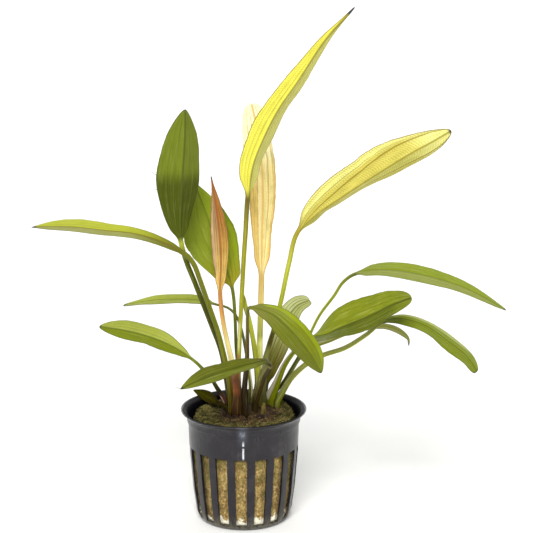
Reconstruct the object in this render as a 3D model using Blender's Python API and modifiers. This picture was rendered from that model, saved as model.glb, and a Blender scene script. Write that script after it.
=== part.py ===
"""A young amazon sword plant in a 5 cm net pot.

The origin is the middle of the pot's foot, +Z is up, and +X is to the right seen from the front (-Y).
"""
import math

import bmesh
import bpy
from mathutils import Vector
from mathutils.geometry import interpolate_bezier

MM = 0.001
GAP = 0.3 * MM

# Net pot
POT_HEIGHT = 50.0 * MM
RIM_RADIUS = 27.5 * MM
COLLAR_RADIUS = 24.8 * MM
FOOT_RADIUS = 17.2 * MM
WALL = 1.0 * MM
FLOOR = 1.2 * MM
ROUND_STEPS = 51

# Slots of the pot
SLOT_COUNT = 17
FRONT_SLOT = math.radians(-92.2)
SLOT_BOTTOM = 2.2 * MM
SLOT_TOP = 33.8 * MM
SLOT_WIDTH_TOP = 5.5 * MM
SLOT_WIDTH_BOTTOM = 4.6 * MM
DRAIN_INNER = 7.5 * MM
DRAIN_OUTER = 16.4 * MM
DRAIN_WIDTH_INNER = 1.4 * MM
DRAIN_WIDTH_OUTER = 3.4 * MM

# Mineral wool
WOOL_BOTTOM = 6.3 * MM
WOOL_EDGE = 45.6 * MM
WOOL_TOP = 46.7 * MM

# Crown
CROWN_CENTRE = (3.5 * MM, 1.5 * MM)
CROWN_HALF_LENGTH = 14.5 * MM
CROWN_HALF_WIDTH = 11.0 * MM
CROWN_HEIGHT = 3.9 * MM

# Leaves
STALK_WIDTH_LOW = 3.0 * MM
STALK_WIDTH_HIGH = 2.0 * MM
STALK_DEPTH_LOW = 2.2 * MM
STALK_DEPTH_HIGH = 1.7 * MM
SHEATH_LENGTH = 16.0 * MM
BLADE_THICKNESS = 0.5 * MM
RIB_AT_TIP = 0.3 * MM
FLAT_AFTER = 1 / 9
FOLDED_AFTER = 1 / 5
STALK_STEP = 8.0 * MM
BLADE_STEP = 6.5 * MM
FINE_STEPS = 12
NEAR_BASE = 0.04
NEAR_TIP = 0.97
RING_POINTS = 8
SLOPE_REACH = 0.2 * MM


def clear_scene():
    for old in list(bpy.data.objects):
        bpy.data.objects.remove(old, do_unlink=True)


def new_collection(name):
    collection = bpy.data.collections.new(name)
    bpy.context.scene.collection.children.link(collection)
    return collection


def make_material(name, colour, roughness):
    material = bpy.data.materials.new(name)
    material.use_nodes = True
    shader = material.node_tree.nodes["Principled BSDF"]
    shader.inputs["Base Color"].default_value = (*colour, 1.0)
    shader.inputs["Roughness"].default_value = roughness
    shader.inputs["Metallic"].default_value = 0.0
    material.diffuse_color = (*colour, 1.0)
    return material


def add_object(name, mesh, collection, material=None):
    thing = bpy.data.objects.new(name, mesh)
    collection.objects.link(thing)
    if material:
        mesh.materials.append(material)
    return thing


def turn_profile(name, profile, collection, material):
    """A turned body from points (radius, height) that run down its outer side."""
    mesh = bpy.data.meshes.new(name)
    vertices = [(radius, 0.0, height) for radius, height in profile]
    edges = [(i, i + 1) for i in range(len(profile) - 1)]
    mesh.from_pydata(vertices, edges, [])
    body = add_object(name, mesh, collection, material)
    screw = body.modifiers.new("turn", "SCREW")
    screw.axis = "Z"
    screw.steps = ROUND_STEPS
    screw.render_steps = ROUND_STEPS
    screw.use_merge_vertices = True
    screw.merge_threshold = 0.00001
    screw.use_smooth_shade = True
    return body


def wall_radius(height):
    """The outside of the pot's wall below the collar."""
    stations = ((6.5, 21.4), (14.0, 22.5), (31.0, 23.9), (44.2, 24.3))
    for (low, r_low), (high, r_high) in zip(stations, stations[1:]):
        if height <= high * MM:
            break
    share = (height / MM - low) / (high - low)
    return (r_low + (r_high - r_low) * share) * MM


def pot_profile():
    """From the middle of the floor up the inside, over the rim and down the outside."""
    corner_top = 6.5 * MM
    corner = [math.radians(a) for a in (90, 60, 30, 0)]
    reach_out = wall_radius(corner_top) - FOOT_RADIUS
    reach_in = reach_out - WALL + 0.2 * MM
    inside = [(0.0, FLOOR)]
    for a in corner:
        radius = FOOT_RADIUS - 0.2 * MM + reach_in * math.cos(a)
        height = corner_top - (corner_top - FLOOR) * math.sin(a)
        inside.append((radius, height))
    for height in (14.0 * MM, 31.0 * MM, 44.2 * MM):
        inside.append((wall_radius(height) - WALL, height))
    rim = [
        (24.0 * MM, 47.2 * MM),
        (RIM_RADIUS - 0.9 * MM, POT_HEIGHT),
        (RIM_RADIUS, POT_HEIGHT - 0.1 * MM),
        (RIM_RADIUS - 0.2 * MM, POT_HEIGHT - 0.9 * MM),
        (COLLAR_RADIUS + 0.3 * MM, 47.2 * MM),
        (COLLAR_RADIUS, 44.6 * MM),
    ]
    outside = [(wall_radius(height), height) for height in (44.2 * MM, 31.0 * MM, 14.0 * MM)]
    for a in reversed(corner):
        radius = FOOT_RADIUS + reach_out * math.cos(a)
        height = corner_top * (1 - math.sin(a))
        outside.append((radius, height))
    outside.append((0.0, 0.0))
    return inside + rim + outside


def tapered_block(shell, near, far, low, high, width_a, width_b, taper_up, angle):
    """A block from radius near to far, whose width goes from width_a to width_b."""
    block = bmesh.ops.create_cube(shell, size=1.0)["verts"]
    for v in block:
        share = v.co.z + 0.5 if taper_up else v.co.x + 0.5
        width = width_a + (width_b - width_a) * share
        x = near + (far - near) * (v.co.x + 0.5)
        y = v.co.y * width
        z = low + (high - low) * (v.co.z + 0.5)
        turned = (x * math.cos(angle) - y * math.sin(angle), x * math.sin(angle) + y * math.cos(angle), z)
        v.co = Vector(turned)


def slot_cutter(collection):
    """All the side slots and the drain slots of the floor, as separate blocks in one mesh."""
    shell = bmesh.new()
    for i in range(SLOT_COUNT):
        angle = FRONT_SLOT + 2 * math.pi * i / SLOT_COUNT
        side = (FOOT_RADIUS, 30 * MM, SLOT_BOTTOM, SLOT_TOP, SLOT_WIDTH_BOTTOM, SLOT_WIDTH_TOP)
        drain = (DRAIN_INNER, DRAIN_OUTER, -MM, FLOOR + MM, DRAIN_WIDTH_INNER, DRAIN_WIDTH_OUTER)
        tapered_block(shell, *side, True, angle)
        tapered_block(shell, *drain, False, angle)
    mesh = bpy.data.meshes.new("slots")
    shell.to_mesh(mesh)
    shell.free()
    cutter = add_object("slots", mesh, collection)
    cutter.hide_render = True
    cutter.display_type = "WIRE"
    return cutter


def make_pot(parts, cutters):
    plastic = make_material("black_plastic", (0.045, 0.043, 0.055), 0.35)
    pot = turn_profile("pot", pot_profile(), parts, plastic)
    cut = pot.modifiers.new("slots", "BOOLEAN")
    cut.operation = "DIFFERENCE"
    cut.solver = "EXACT"
    cut.object = slot_cutter(cutters)


def make_wool(parts):
    """The plug fills the tapered wall and stops short of the floor and the rim."""
    wool = make_material("rock_wool", (0.36, 0.26, 0.08), 0.95)
    inset = WALL + GAP
    profile = [
        (0.0, WOOL_TOP),
        (11.0 * MM, WOOL_TOP - 0.1 * MM),
        (17.5 * MM, WOOL_TOP - 0.4 * MM),
        (21.0 * MM, WOOL_EDGE),
    ]
    for height in (43.0 * MM, 31.0 * MM, 14.0 * MM, 8.0 * MM):
        profile.append((wall_radius(height) - inset, height))
    profile.append((wall_radius(8.0 * MM) - inset - 1.2 * MM, WOOL_BOTTOM))
    profile.append((0.0, WOOL_BOTTOM))
    turn_profile("rock_wool_plug", profile, parts, wool)


def make_crown(parts):
    """A low oval mound with a flat underside on the wool."""
    bark = make_material("crown_bark", (0.09, 0.055, 0.025), 0.9)
    angles = [math.radians(a) for a in (90, 68, 46, 24, 0)]
    profile = [(math.cos(a), CROWN_HEIGHT * math.sin(a)) for a in angles]
    profile[0] = (0.0, CROWN_HEIGHT)
    profile.append((0.0, 0.0))
    crown = turn_profile("crown", profile, parts, bark)
    crown.location = (*CROWN_CENTRE, WOOL_TOP + GAP)
    crown.scale = (CROWN_HALF_LENGTH, CROWN_HALF_WIDTH, 1.0)


def smooth_route(points):
    """A fine polyline on a smooth curve through points given in millimetres."""
    points = [Vector(p) * MM for p in points]
    slopes = []
    for i in range(len(points)):
        before = points[max(i - 1, 0)]
        after = points[min(i + 1, len(points) - 1)]
        slopes.append((after - before).normalized())
    fine = []
    for i in range(len(points) - 1):
        a, b = points[i], points[i + 1]
        reach = (b - a).length / 3
        piece = interpolate_bezier(a, a + slopes[i] * reach, b - slopes[i + 1] * reach, b, FINE_STEPS + 1)
        fine += piece[:-1]
    return fine + [points[-1]]


def measure(fine):
    """The distance along the polyline at each of its points."""
    lengths = [0.0]
    for a, b in zip(fine, fine[1:]):
        lengths.append(lengths[-1] + (b - a).length)
    return lengths


def point_at(fine, lengths, distance):
    for i in range(1, len(fine)):
        if lengths[i] >= distance:
            break
    share = (distance - lengths[i - 1]) / (lengths[i] - lengths[i - 1])
    return fine[i - 1].lerp(fine[i], share)


def face_at(faces, share):
    """The way the upper face looks, blended between directions spaced evenly along the blade."""
    place = share * (len(faces) - 1)
    i = min(int(place), len(faces) - 2)
    return Vector(faces[i]).lerp(Vector(faces[i + 1]), place - i)


def outline(share, widest, base_taper, tip_taper):
    """Half of a blade's width at a share of its length, as a share of the largest."""
    warp = math.log(0.5) / math.log(widest)
    swell = math.sin(math.pi * share ** warp)
    return max(swell, 0.0) ** (base_taper + (tip_taper - base_taper) * share)


def stalk_ring(width, depth):
    angles = [2 * math.pi * k / RING_POINTS for k in range(RING_POINTS)]
    return [(width / 2 * math.cos(a), depth / 2 * math.sin(a)) for a in angles]


def blade_ring(half, fold, thick, rib):
    """Edge, upper face, edge, lower face with the midrib, in the stalk ring's order."""
    out = half * math.cos(fold)
    up = half * math.sin(fold)
    t = thick / 2
    return [
        (out, up), (out / 2, up / 2 + t), (0.0, t), (-out / 2, up / 2 + t),
        (-out, up), (-out / 2, up / 2 - t), (0.0, -rib), (out / 2, up / 2 - t),
    ]


def mix_rings(ring_a, ring_b, share):
    return [(a[0] + (b[0] - a[0]) * share, a[1] + (b[1] - a[1]) * share) for a, b in zip(ring_a, ring_b)]


def ease(share):
    share = min(max(share, 0.0), 1.0)
    return share * share * (3 - 2 * share)


def stations_along(stalk_length, blade_length):
    """Distances of the rings: widely spaced on the stalk, closer on the blade."""
    stalk_count = max(2, round(stalk_length / STALK_STEP))
    blade_count = max(7, round(blade_length / BLADE_STEP))
    low = [stalk_length * i / stalk_count for i in range(stalk_count)]
    high = [stalk_length + blade_length * i / blade_count for i in range(blade_count)]
    high += [stalk_length + blade_length * NEAR_BASE, stalk_length + blade_length * NEAR_TIP]
    return low + sorted(high)


def ring_at(distance, stalk_length, blade_length, width, fold, tapers):
    """The section at a distance from the foot: oval on the stalk, flat and folded on the blade."""
    low = ease(distance / SHEATH_LENGTH)
    wide = STALK_WIDTH_LOW + (STALK_WIDTH_HIGH - STALK_WIDTH_LOW) * low
    deep = STALK_DEPTH_LOW + (STALK_DEPTH_HIGH - STALK_DEPTH_LOW) * low
    ring = stalk_ring(wide, deep)
    share = (distance - stalk_length) / blade_length
    if share < 0:
        return ring
    lobe = width / 2 * outline(share, *tapers)
    half = math.hypot(lobe, STALK_WIDTH_HIGH / 2 * (1 - share))
    rib = STALK_DEPTH_HIGH / 2 * (1 - share) + RIB_AT_TIP * share
    flat = blade_ring(half, fold * ease(share / FOLDED_AFTER), BLADE_THICKNESS, rib)
    return mix_rings(ring, flat, ease(share / FLAT_AFTER))


def upper_sides(places, forwards, stalk_length, blade_length, faces):
    """The way the upper side looks at each place, carried down the stalk from the blade's base."""
    on_stalk = sum(1 for d in places if d < stalk_length)
    ups = [None] * len(places)
    for i in range(on_stalk, len(places)):
        up = face_at(faces, (places[i] - stalk_length) / blade_length)
        ups[i] = (up - forwards[i] * up.dot(forwards[i])).normalized()
    for i in range(on_stalk - 1, -1, -1):
        up = ups[i + 1]
        ups[i] = (up - forwards[i] * up.dot(forwards[i])).normalized()
    return ups


def skin_rings(name, loops, tip):
    """A closed mesh over the rings, flat at the foot and pointed at the tip."""
    shell = bmesh.new()
    rows = [[shell.verts.new(point) for point in loop] for loop in loops]
    point = shell.verts.new(tip)
    shell.faces.new(list(reversed(rows[0])))
    for k in range(RING_POINTS):
        after = (k + 1) % RING_POINTS
        for near, far in zip(rows, rows[1:]):
            shell.faces.new((near[k], near[after], far[after], far[k]))
        shell.faces.new((rows[-1][k], rows[-1][after], point))
    bmesh.ops.recalc_face_normals(shell, faces=shell.faces[:])
    for face in shell.faces:
        face.smooth = True
    mesh = bpy.data.meshes.new(name)
    shell.to_mesh(mesh)
    shell.free()
    return mesh


def grow_leaf(name, parts, stalk, blade, width, fold, faces, colour, widest, base_taper, tip_taper):
    """One leaf: a stalk from the crown that passes into a blade ending in a point."""
    fine = smooth_route(stalk + blade)
    lengths = measure(fine)
    stalk_length = lengths[(len(stalk) - 1) * FINE_STEPS]
    blade_length = lengths[-1] - stalk_length
    places = stations_along(stalk_length, blade_length)
    forwards = []
    for d in places:
        ahead = point_at(fine, lengths, min(d + SLOPE_REACH, lengths[-1]))
        behind = point_at(fine, lengths, max(d - SLOPE_REACH, 0.0))
        forwards.append((ahead - behind).normalized())
    ups = upper_sides(places, forwards, stalk_length, blade_length, faces)
    loops = []
    for d, forward, up in zip(places, forwards, ups):
        centre = point_at(fine, lengths, d)
        side = up.cross(forward)
        tapers = (widest, base_taper, tip_taper)
        ring = ring_at(d, stalk_length, blade_length, width * MM, math.radians(fold), tapers)
        loops.append([centre + side * a + up * b for a, b in ring])
    mesh = skin_rings(name, loops, fine[-1])
    add_object(name, mesh, parts, make_material(name + "_skin", colour, 0.45))


def grow_upper_leaves(parts):
    """The tall ones in the middle, and a stalk among them whose blade has gone."""
    grow_leaf(
        "tall_yellow_leaf", parts,
        stalk=[(-1.4, -1.6, 51.5), (-2.3, -1.8, 61.7), (-1.9, -2.3, 76.8), (-1, -3.5, 95),
               (0.2, -6, 116.7), (1.1, -8, 130.2), (2, -10, 144.5)],
        blade=[(4, -12.5, 159), (8, -14, 170), (14.5, -15.5, 183), (23, -17, 195.5),
               (33.5, -19, 211.5), (45.5, -20, 225)],
        width=13.5, fold=18, faces=[(-0.6, 0.78, 0.2), (-0.5, 0.77, 0.4), (-0.1, 0.99, 0.1)],
        colour=(0.75, 0.72, 0.12), widest=0.33, base_taper=1.0, tip_taper=1.3)
    grow_leaf(
        "orange_leaf", parts,
        stalk=[(5.5, 4.5, 51.5), (6.6, 5.6, 58.5), (6.9, 7, 70.9), (7.5, 9.3, 94.9), (7.8, 9.8, 106)],
        blade=[(8, 12, 124.5), (8.5, 13, 140), (8, 14, 155), (6, 14.5, 170.5), (3.5, 15, 182)],
        width=15.4, fold=28, faces=[(0.15, -0.98, 0.1), (-0.05, -1.0, 0.03)],
        colour=(0.75, 0.5, 0.18), widest=0.66, base_taper=0.48, tip_taper=0.35)
    grow_leaf(
        "right_yellow_leaf", parts,
        stalk=[(8.4, 2.6, 51.5), (8.2, 2.8, 57), (9.9, 2, 72.4), (12.6, 0.4, 83.5),
               (16.2, -2.5, 98.8), (19.7, -6, 117), (23, -8, 130)],
        blade=[(31.5, -10, 139), (41, -12, 146), (54, -14, 155), (69, -17, 165),
               (78.5, -18.5, 170.5), (85.5, -20, 175)],
        width=20, fold=35, faces=[(-0.42, 0.8, 0.42), (-0.19, 0.85, 0.49), (0.25, 0.96, -0.05)],
        colour=(0.78, 0.7, 0.15), widest=0.5, base_taper=0.6, tip_taper=0.6)
    grow_leaf(
        "left_upright_leaf", parts,
        stalk=[(-5.4, 0.6, 51.5), (-7.3, 0.4, 62.9), (-9.5, -1, 75.5), (-13.4, -3, 87.3),
               (-20.5, -7, 108), (-24, -8, 117.5), (-26, -9, 125.5)],
        blade=[(-26.5, -9.5, 132), (-26, -10.5, 144.5), (-25, -11.5, 157.5), (-24, -12.5, 170),
               (-23.5, -14, 183)],
        width=21.4, fold=20, faces=[(-0.4, 0.91, 0.02), (-0.6, 0.8, 0.1)],
        colour=(0.16, 0.21, 0.035), widest=0.55, base_taper=0.76, tip_taper=0.63)
    grow_leaf(
        "broad_leaf", parts,
        stalk=[(-2.5, 3.2, 51.5), (-2.1, 3.5, 61.5), (-3.3, 4.5, 77.1), (-3.8, 6, 90.7), (-4.9, 8, 101.5)],
        blade=[(-8.5, 9, 113.5), (-13, 10, 125), (-17, 11, 137), (-22, 12, 150)],
        width=26, fold=20, faces=[(-0.1, -0.99, 0.08), (-0.35, -0.93, -0.05)],
        colour=(0.27, 0.32, 0.05), widest=0.52, base_taper=0.65, tip_taper=1.5)
    grow_leaf(
        "withered_leaf", parts,
        stalk=[(-3, -6, 51.5), (-2.7, -6.2, 57), (-4.9, -6.4, 72.2), (-8.5, -5, 89.5), (-9.9, -3.4, 102)],
        blade=[(-9.5, -2.5, 114.5), (-10, -2, 127.5), (-11.5, -2, 140.5), (-13.5, -1, 153)],
        width=9.4, fold=38, faces=[(0.0, 0.99, -0.1), (0.2, 0.97, -0.05)],
        colour=(0.6, 0.3, 0.1), widest=0.44, base_taper=1.1, tip_taper=1.3)
    grow_leaf(
        "bare_stalk", parts,
        stalk=[(5.8, 0.2, 51.5), (6.2, 0.5, 61), (5, 0.4, 75.1), (2.8, -0.3, 88.4), (0.5, -1.2, 97.5)],
        blade=[(-0.4, -1.4, 100.7), (-1, -1.5, 104)],
        width=1.6, fold=0, faces=[(0, -1, 0.2), (0, -1, 0.2)],
        colour=(0.38, 0.42, 0.05), widest=0.4, base_taper=1.0, tip_taper=1.0)


def grow_left_leaves(parts):
    """Four that arch or lie to the left, and the one that comes forward over the rim."""
    grow_leaf(
        "left_long_leaf", parts,
        stalk=[(-4.8, -3, 51.5), (-5.7, -3.8, 61.4), (-7.7, -5, 72.2), (-10.6, -7.2, 85.8),
               (-14.5, -10.5, 99), (-18, -12.8, 110.5), (-20.5, -13.5, 117.5), (-24, -14.5, 122)],
        blade=[(-32.5, -16, 127), (-44.5, -18.5, 131.5), (-57, -21, 133.5), (-71, -23.5, 135.5),
               (-86.5, -26, 136)],
        width=13.5, fold=8, faces=[(0.5, -0.7, 0.48), (0.17, -0.25, 0.95), (0.05, -0.14, 0.99)],
        colour=(0.38, 0.42, 0.09), widest=0.71, base_taper=0.33, tip_taper=1.0)
    grow_leaf(
        "left_narrow_leaf", parts,
        stalk=[(2.8, 7, 51.5), (3, 7.5, 57.9), (0.9, 10.5, 72.7), (-2.2, 16.5, 84.5), (-6.5, 22.5, 88.9),
               (-12.5, 24, 90.5)],
        blade=[(-20, 27, 91.5), (-29, 31, 91), (-41, 35, 89.5), (-55.5, 40, 86)],
        width=9.8, fold=5, faces=[(0.0, -0.35, 0.93), (-0.25, -0.05, 0.97)],
        colour=(0.33, 0.38, 0.07), widest=0.54, base_taper=0.58, tip_taper=0.4)
    grow_leaf(
        "left_low_leaf", parts,
        stalk=[(-7.8, 3.2, 51.5), (-11.3, 3.5, 57.1), (-14.2, 4, 61.8), (-18.4, 4.8, 66.6),
               (-22.5, 6, 70.1)],
        blade=[(-30, 7, 75), (-39, 8, 79), (-50, 9, 82), (-63.5, 10, 84)],
        width=12.4, fold=8, faces=[(0.06, -0.9, 0.4), (0.2, -0.46, 0.86), (0.07, -0.56, 0.82)],
        colour=(0.3, 0.36, 0.05), widest=0.59, base_taper=0.76, tip_taper=0.6)
    grow_leaf(
        "rim_leaf", parts,
        stalk=[(-9, -0.8, 51.2), (-11.9, 3.1, 51.1)],
        blade=[(-14.6, 7.9, 51.4), (-17.4, 13.2, 51.5), (-20, 18, 51.3), (-23, 22.5, 51)],
        width=5, fold=6, faces=[(-0.3, -0.62, 0.7), (-0.25, -0.5, 0.8)],
        colour=(0.08, 0.09, 0.02), widest=0.42, base_taper=0.6, tip_taper=0.8)
    grow_leaf(
        "front_low_leaf", parts,
        stalk=[(5, -4.5, 51.5), (5.7, -7, 56.5), (8.4, -13.5, 68.5), (10.8, -17.6, 76)],
        blade=[(4, -22, 77), (-4.5, -27, 75), (-14.5, -32, 73.2), (-25.5, -37, 70)],
        width=13.4, fold=9, faces=[(0.7, 0.15, 0.7), (-0.12, -0.21, 0.97), (-0.11, -0.41, 0.91)],
        colour=(0.22, 0.28, 0.04), widest=0.54, base_taper=0.75, tip_taper=0.8)


def grow_right_leaves(parts):
    """Those on the right: two in front and behind, and four that fan out."""
    grow_leaf(
        "front_right_leaf", parts,
        stalk=[(0.3, -7.7, 51.5), (0.2, -8, 59.6), (1.4, -10.5, 73.8), (1.8, -15, 89.2), (1.9, -17.5, 96.5),
               (3, -20.6, 100.5)],
        blade=[(12.5, -26, 99), (19, -30, 94.5), (24, -33, 89.5), (28.5, -36, 84), (32.5, -39, 77.5)],
        width=17, fold=1, faces=[(-0.58, -0.72, 0.38), (0.34, -0.59, 0.73), (0.75, -0.3, 0.59)],
        colour=(0.22, 0.27, 0.035), widest=0.7, base_taper=0.4, tip_taper=0.5)
    grow_leaf(
        "pale_leaf", parts,
        stalk=[(8.4, 8.2, 51.5), (9.2, 9, 57)],
        blade=[(11.3, 11, 65.6), (15, 16, 74), (17.8, 20, 79.7), (20.5, 24, 86), (24.2, 27, 90),
               (29.8, 29.5, 92)],
        width=10.4, fold=20, faces=[(0.35, -0.88, 0.3), (-0.15, -0.7, 0.7)],
        colour=(0.4, 0.45, 0.16), widest=0.6, base_taper=0.4, tip_taper=0.3)
    grow_leaf(
        "right_arched_leaf", parts,
        stalk=[(11.8, 8.2, 51.5), (16.4, 6.6, 58.4), (19.8, 5, 64.6), (26.3, 1, 77.6), (32.4, -1.8, 91.8),
               (39, -4.5, 102), (42.2, -5.5, 107.5), (47, -6.5, 111.5)],
        blade=[(56, -9, 114), (66.5, -11, 114), (79, -13, 112), (93.5, -15, 107.5), (111, -17, 98.5)],
        width=13.1, fold=3, faces=[(-0.39, -0.07, 0.92), (0.16, -0.39, 0.91), (0.4, -0.35, 0.85)],
        colour=(0.3, 0.36, 0.06), widest=0.3, base_taper=0.5, tip_taper=0.6)
    grow_leaf(
        "right_broad_leaf", parts,
        stalk=[(11, 4.8, 51.5), (13.5, 3.4, 57.8), (18.2, -0.5, 70.4), (24.4, -7, 80.4),
               (28.6, -10.2, 84.2)],
        blade=[(36, -13, 87), (42, -15, 90.5), (49, -17, 94), (56.5, -19, 98), (62, -21, 101.5),
               (70.5, -24, 105.5)],
        width=18.7, fold=19, faces=[(-0.62, 0.0, 0.79), (-0.47, -0.66, 0.58), (-0.46, -0.78, 0.41)],
        colour=(0.3, 0.34, 0.05), widest=0.37, base_taper=0.6, tip_taper=0.41)
    grow_leaf(
        "right_low_leaf", parts,
        stalk=[(14.4, 4, 51.5), (16.4, 3.2, 55.5), (21.1, 1.5, 63.6), (27.2, -0.5, 70), (34.5, -2.3, 74.6),
               (43.9, -3.6, 78.3), (53, -6, 85), (59, -7.5, 90.5)],
        blade=[(67, -9, 92.5), (77.5, -11, 90), (88, -13, 83), (95.5, -14.5, 77), (99.5, -16, 71)],
        width=14, fold=-2, faces=[(-0.47, -0.28, 0.83), (0.51, -0.26, 0.82), (0.73, -0.4, 0.56)],
        colour=(0.3, 0.36, 0.03), widest=0.7, base_taper=0.3, tip_taper=0.3)
    grow_leaf(
        "right_small_leaf", parts,
        stalk=[(15.6, 7.6, 51.5), (19, 10.5, 60), (27, 9.5, 73), (38, 9.5, 78), (47.5, 11, 81.5),
               (56.5, 12, 83)],
        blade=[(62.5, 13, 83), (68, 14, 81), (72.6, 15, 77.5), (73.4, 15, 73.8)],
        width=6.8, fold=3, faces=[(-0.05, -0.05, 1.0), (0.65, -0.18, 0.74)],
        colour=(0.45, 0.48, 0.12), widest=0.45, base_taper=0.4, tip_taper=0.5)


clear_scene()
parts = new_collection("potted_amazon_sword")
cutters = new_collection("cutters")
make_pot(parts, cutters)
make_wool(parts)
make_crown(parts)
grow_upper_leaves(parts)
grow_left_leaves(parts)
grow_right_leaves(parts)
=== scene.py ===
import math
import random

import bmesh
import bpy
import numpy as np
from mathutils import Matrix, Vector, noise


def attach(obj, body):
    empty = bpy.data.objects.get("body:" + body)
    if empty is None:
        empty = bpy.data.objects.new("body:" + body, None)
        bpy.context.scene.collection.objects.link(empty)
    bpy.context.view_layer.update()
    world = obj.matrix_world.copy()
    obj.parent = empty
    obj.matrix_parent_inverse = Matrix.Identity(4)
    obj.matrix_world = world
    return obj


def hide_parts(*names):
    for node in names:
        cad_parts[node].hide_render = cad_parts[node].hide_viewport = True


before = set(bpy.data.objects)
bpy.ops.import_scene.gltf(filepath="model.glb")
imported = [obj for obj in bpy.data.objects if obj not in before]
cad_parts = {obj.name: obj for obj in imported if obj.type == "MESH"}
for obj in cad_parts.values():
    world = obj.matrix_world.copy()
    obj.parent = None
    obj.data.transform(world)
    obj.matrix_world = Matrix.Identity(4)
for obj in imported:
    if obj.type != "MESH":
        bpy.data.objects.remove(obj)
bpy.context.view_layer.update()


# Net pot
# Moulded black plastic, about 1 mm thick: a tapered wall with long slots, a plain band over them, a collar
# that stands out on a small ledge, and a flared rim. Spoke-like drain slots open the floor. Lengths in mm.
MM = 0.001
WALL = 1.0
FOOT_RADIUS = 17.2
CORNER_HEIGHT = 6.5
CORNER_REACH = 4.2
SLOTS = 17
FRONT_SLOT = math.radians(-92.2)
SLOT_LOW, SLOT_HIGH = 2.2, 33.8
SLOT_WIDTH_LOW, SLOT_WIDTH_HIGH = 4.6, 5.5
DRAIN_IN, DRAIN_OUT = 7.5, 16.4
DRAIN_WIDTH_IN, DRAIN_WIDTH_OUT = 1.4, 3.4
# Height and radius up the wall's outside.
WALL_STATIONS = ((6.5, 21.4), (14.0, 22.5), (31.0, 23.9), (44.2, 24.3))
# A nick in the rim's lip, at the front left.
NICK_ANGLE, NICK_SPREAD = math.radians(-122.5), 0.03
NICK_FROM, NICK_DEEP, NICK_DROP = 48.9, 0.45, 0.4
# Columns of faces over each slot and over each rib, and how far apart two equal measures may be.
COLUMNS = 4
SLACK = 0.01


class Varied:
    """A number or colour that varies over a surface, held as an output socket of a paint's nodes."""

    def __init__(self, paint, socket):
        self.paint = paint
        self.socket = socket

    def _math(self, operation, *values):
        return self.paint.node("Math", {"operation": operation}, dict(enumerate(values)))

    def __add__(self, other):
        return self._math("ADD", self, other)

    def __radd__(self, other):
        return self._math("ADD", other, self)

    def __sub__(self, other):
        return self._math("SUBTRACT", self, other)

    def __rsub__(self, other):
        return self._math("SUBTRACT", other, self)

    def __mul__(self, other):
        return self._math("MULTIPLY", self, other)

    def __rmul__(self, other):
        return self._math("MULTIPLY", other, self)

    def __truediv__(self, other):
        return self._math("DIVIDE", self, other)

    def __abs__(self):
        return self._math("ABSOLUTE", self)


class Paint:
    """One material. Its shader's fixed values are set at once, and varied ones are given to wear()."""

    def __init__(self, name, **fixed):
        self.material = bpy.data.materials.new(name)
        self.material.use_nodes = True
        self.nodes = self.material.node_tree.nodes
        self.links = self.material.node_tree.links
        self.shader = self.nodes["Principled BSDF"]
        for key, value in fixed.items():
            self.shader.inputs[key.replace("_", " ").title().replace("Ior", "IOR")].default_value = value

    def node(self, kind, settings=None, values=None, out=0):
        made = self.nodes.new("ShaderNode" + kind)
        for key, value in (settings or {}).items():
            if key == "stops":
                ramp = made.color_ramp
                while len(ramp.elements) < len(value):
                    ramp.elements.new(1.0)
                for element, (place, colour) in zip(ramp.elements, value):
                    element.position = place
                    element.color = (*colour, 1.0)
            else:
                setattr(made, key, value)
        for key, value in (values or {}).items():
            if isinstance(value, Varied):
                self.links.new(value.socket, made.inputs[key])
            elif isinstance(value, tuple) and len(value) == 3 and made.inputs[key].type == "RGBA":
                made.inputs[key].default_value = (*value, 1.0)
            else:
                made.inputs[key].default_value = value
        return Varied(self, made.outputs[out])

    def wear(self, socket, value):
        self.links.new(value.socket, self.shader.inputs[socket])

    def mark(self, name):
        """A number stored on the mesh's points."""
        return self.node("Attribute", {"attribute_name": name}, out="Fac")

    def place(self):
        return self.node("TexCoord", out="Object")

    def axis(self, letter):
        """How far along X, Y or Z a point lies, in metres."""
        return self.node("SeparateXYZ", {}, {0: self.place()}, out=letter)

    def stretch(self, vector, scale):
        return self.node("VectorMath", {"operation": "MULTIPLY"}, {0: vector, 1: scale})

    def cloud(self, vector, scale, detail=3.0, rough=0.55):
        values = {"Vector": vector, "Scale": scale, "Detail": detail, "Roughness": rough}
        return self.node("TexNoise", {}, values)

    def step(self, value, low, high):
        """Goes smoothly from 0 to 1 while value goes from low to high, or down to high if that is lower."""
        values = {"Value": value, "From Min": low, "From Max": high}
        return self.node("MapRange", {"interpolation_type": "SMOOTHSTEP"}, values)

    def band(self, value, low, low_full, high_full, high):
        """One from low_full to high_full, and nothing below low or above high."""
        return self.step(value, low, low_full) * self.step(value, high, high_full)

    def mix(self, factor, a, b, mode="MIX"):
        values = {0: factor, 6: a, 7: b}
        return self.node("Mix", {"data_type": "RGBA", "blend_type": mode}, values, out=2)

    def ramp(self, value, stops):
        """Runs through screen colours, each of which comes with its place from 0 to 1."""
        stops = [(at, rgb(*colour)) for at, *colour in stops]
        return self.node("ValToRGB", {"stops": stops}, {"Fac": value})

    def bump(self, height, distance):
        self.wear("Normal", self.node("Bump", {}, {"Height": height, "Distance": distance, "Strength": 1.0}))


def rgb(red, green, blue):
    """A screen colour, 0 to 255, as the light it stands for."""
    shares = [c / 255 for c in (red, green, blue)]
    return tuple(c / 12.92 if c < 0.04045 else ((c + 0.055) / 1.055) ** 2.4 for c in shares)


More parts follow.
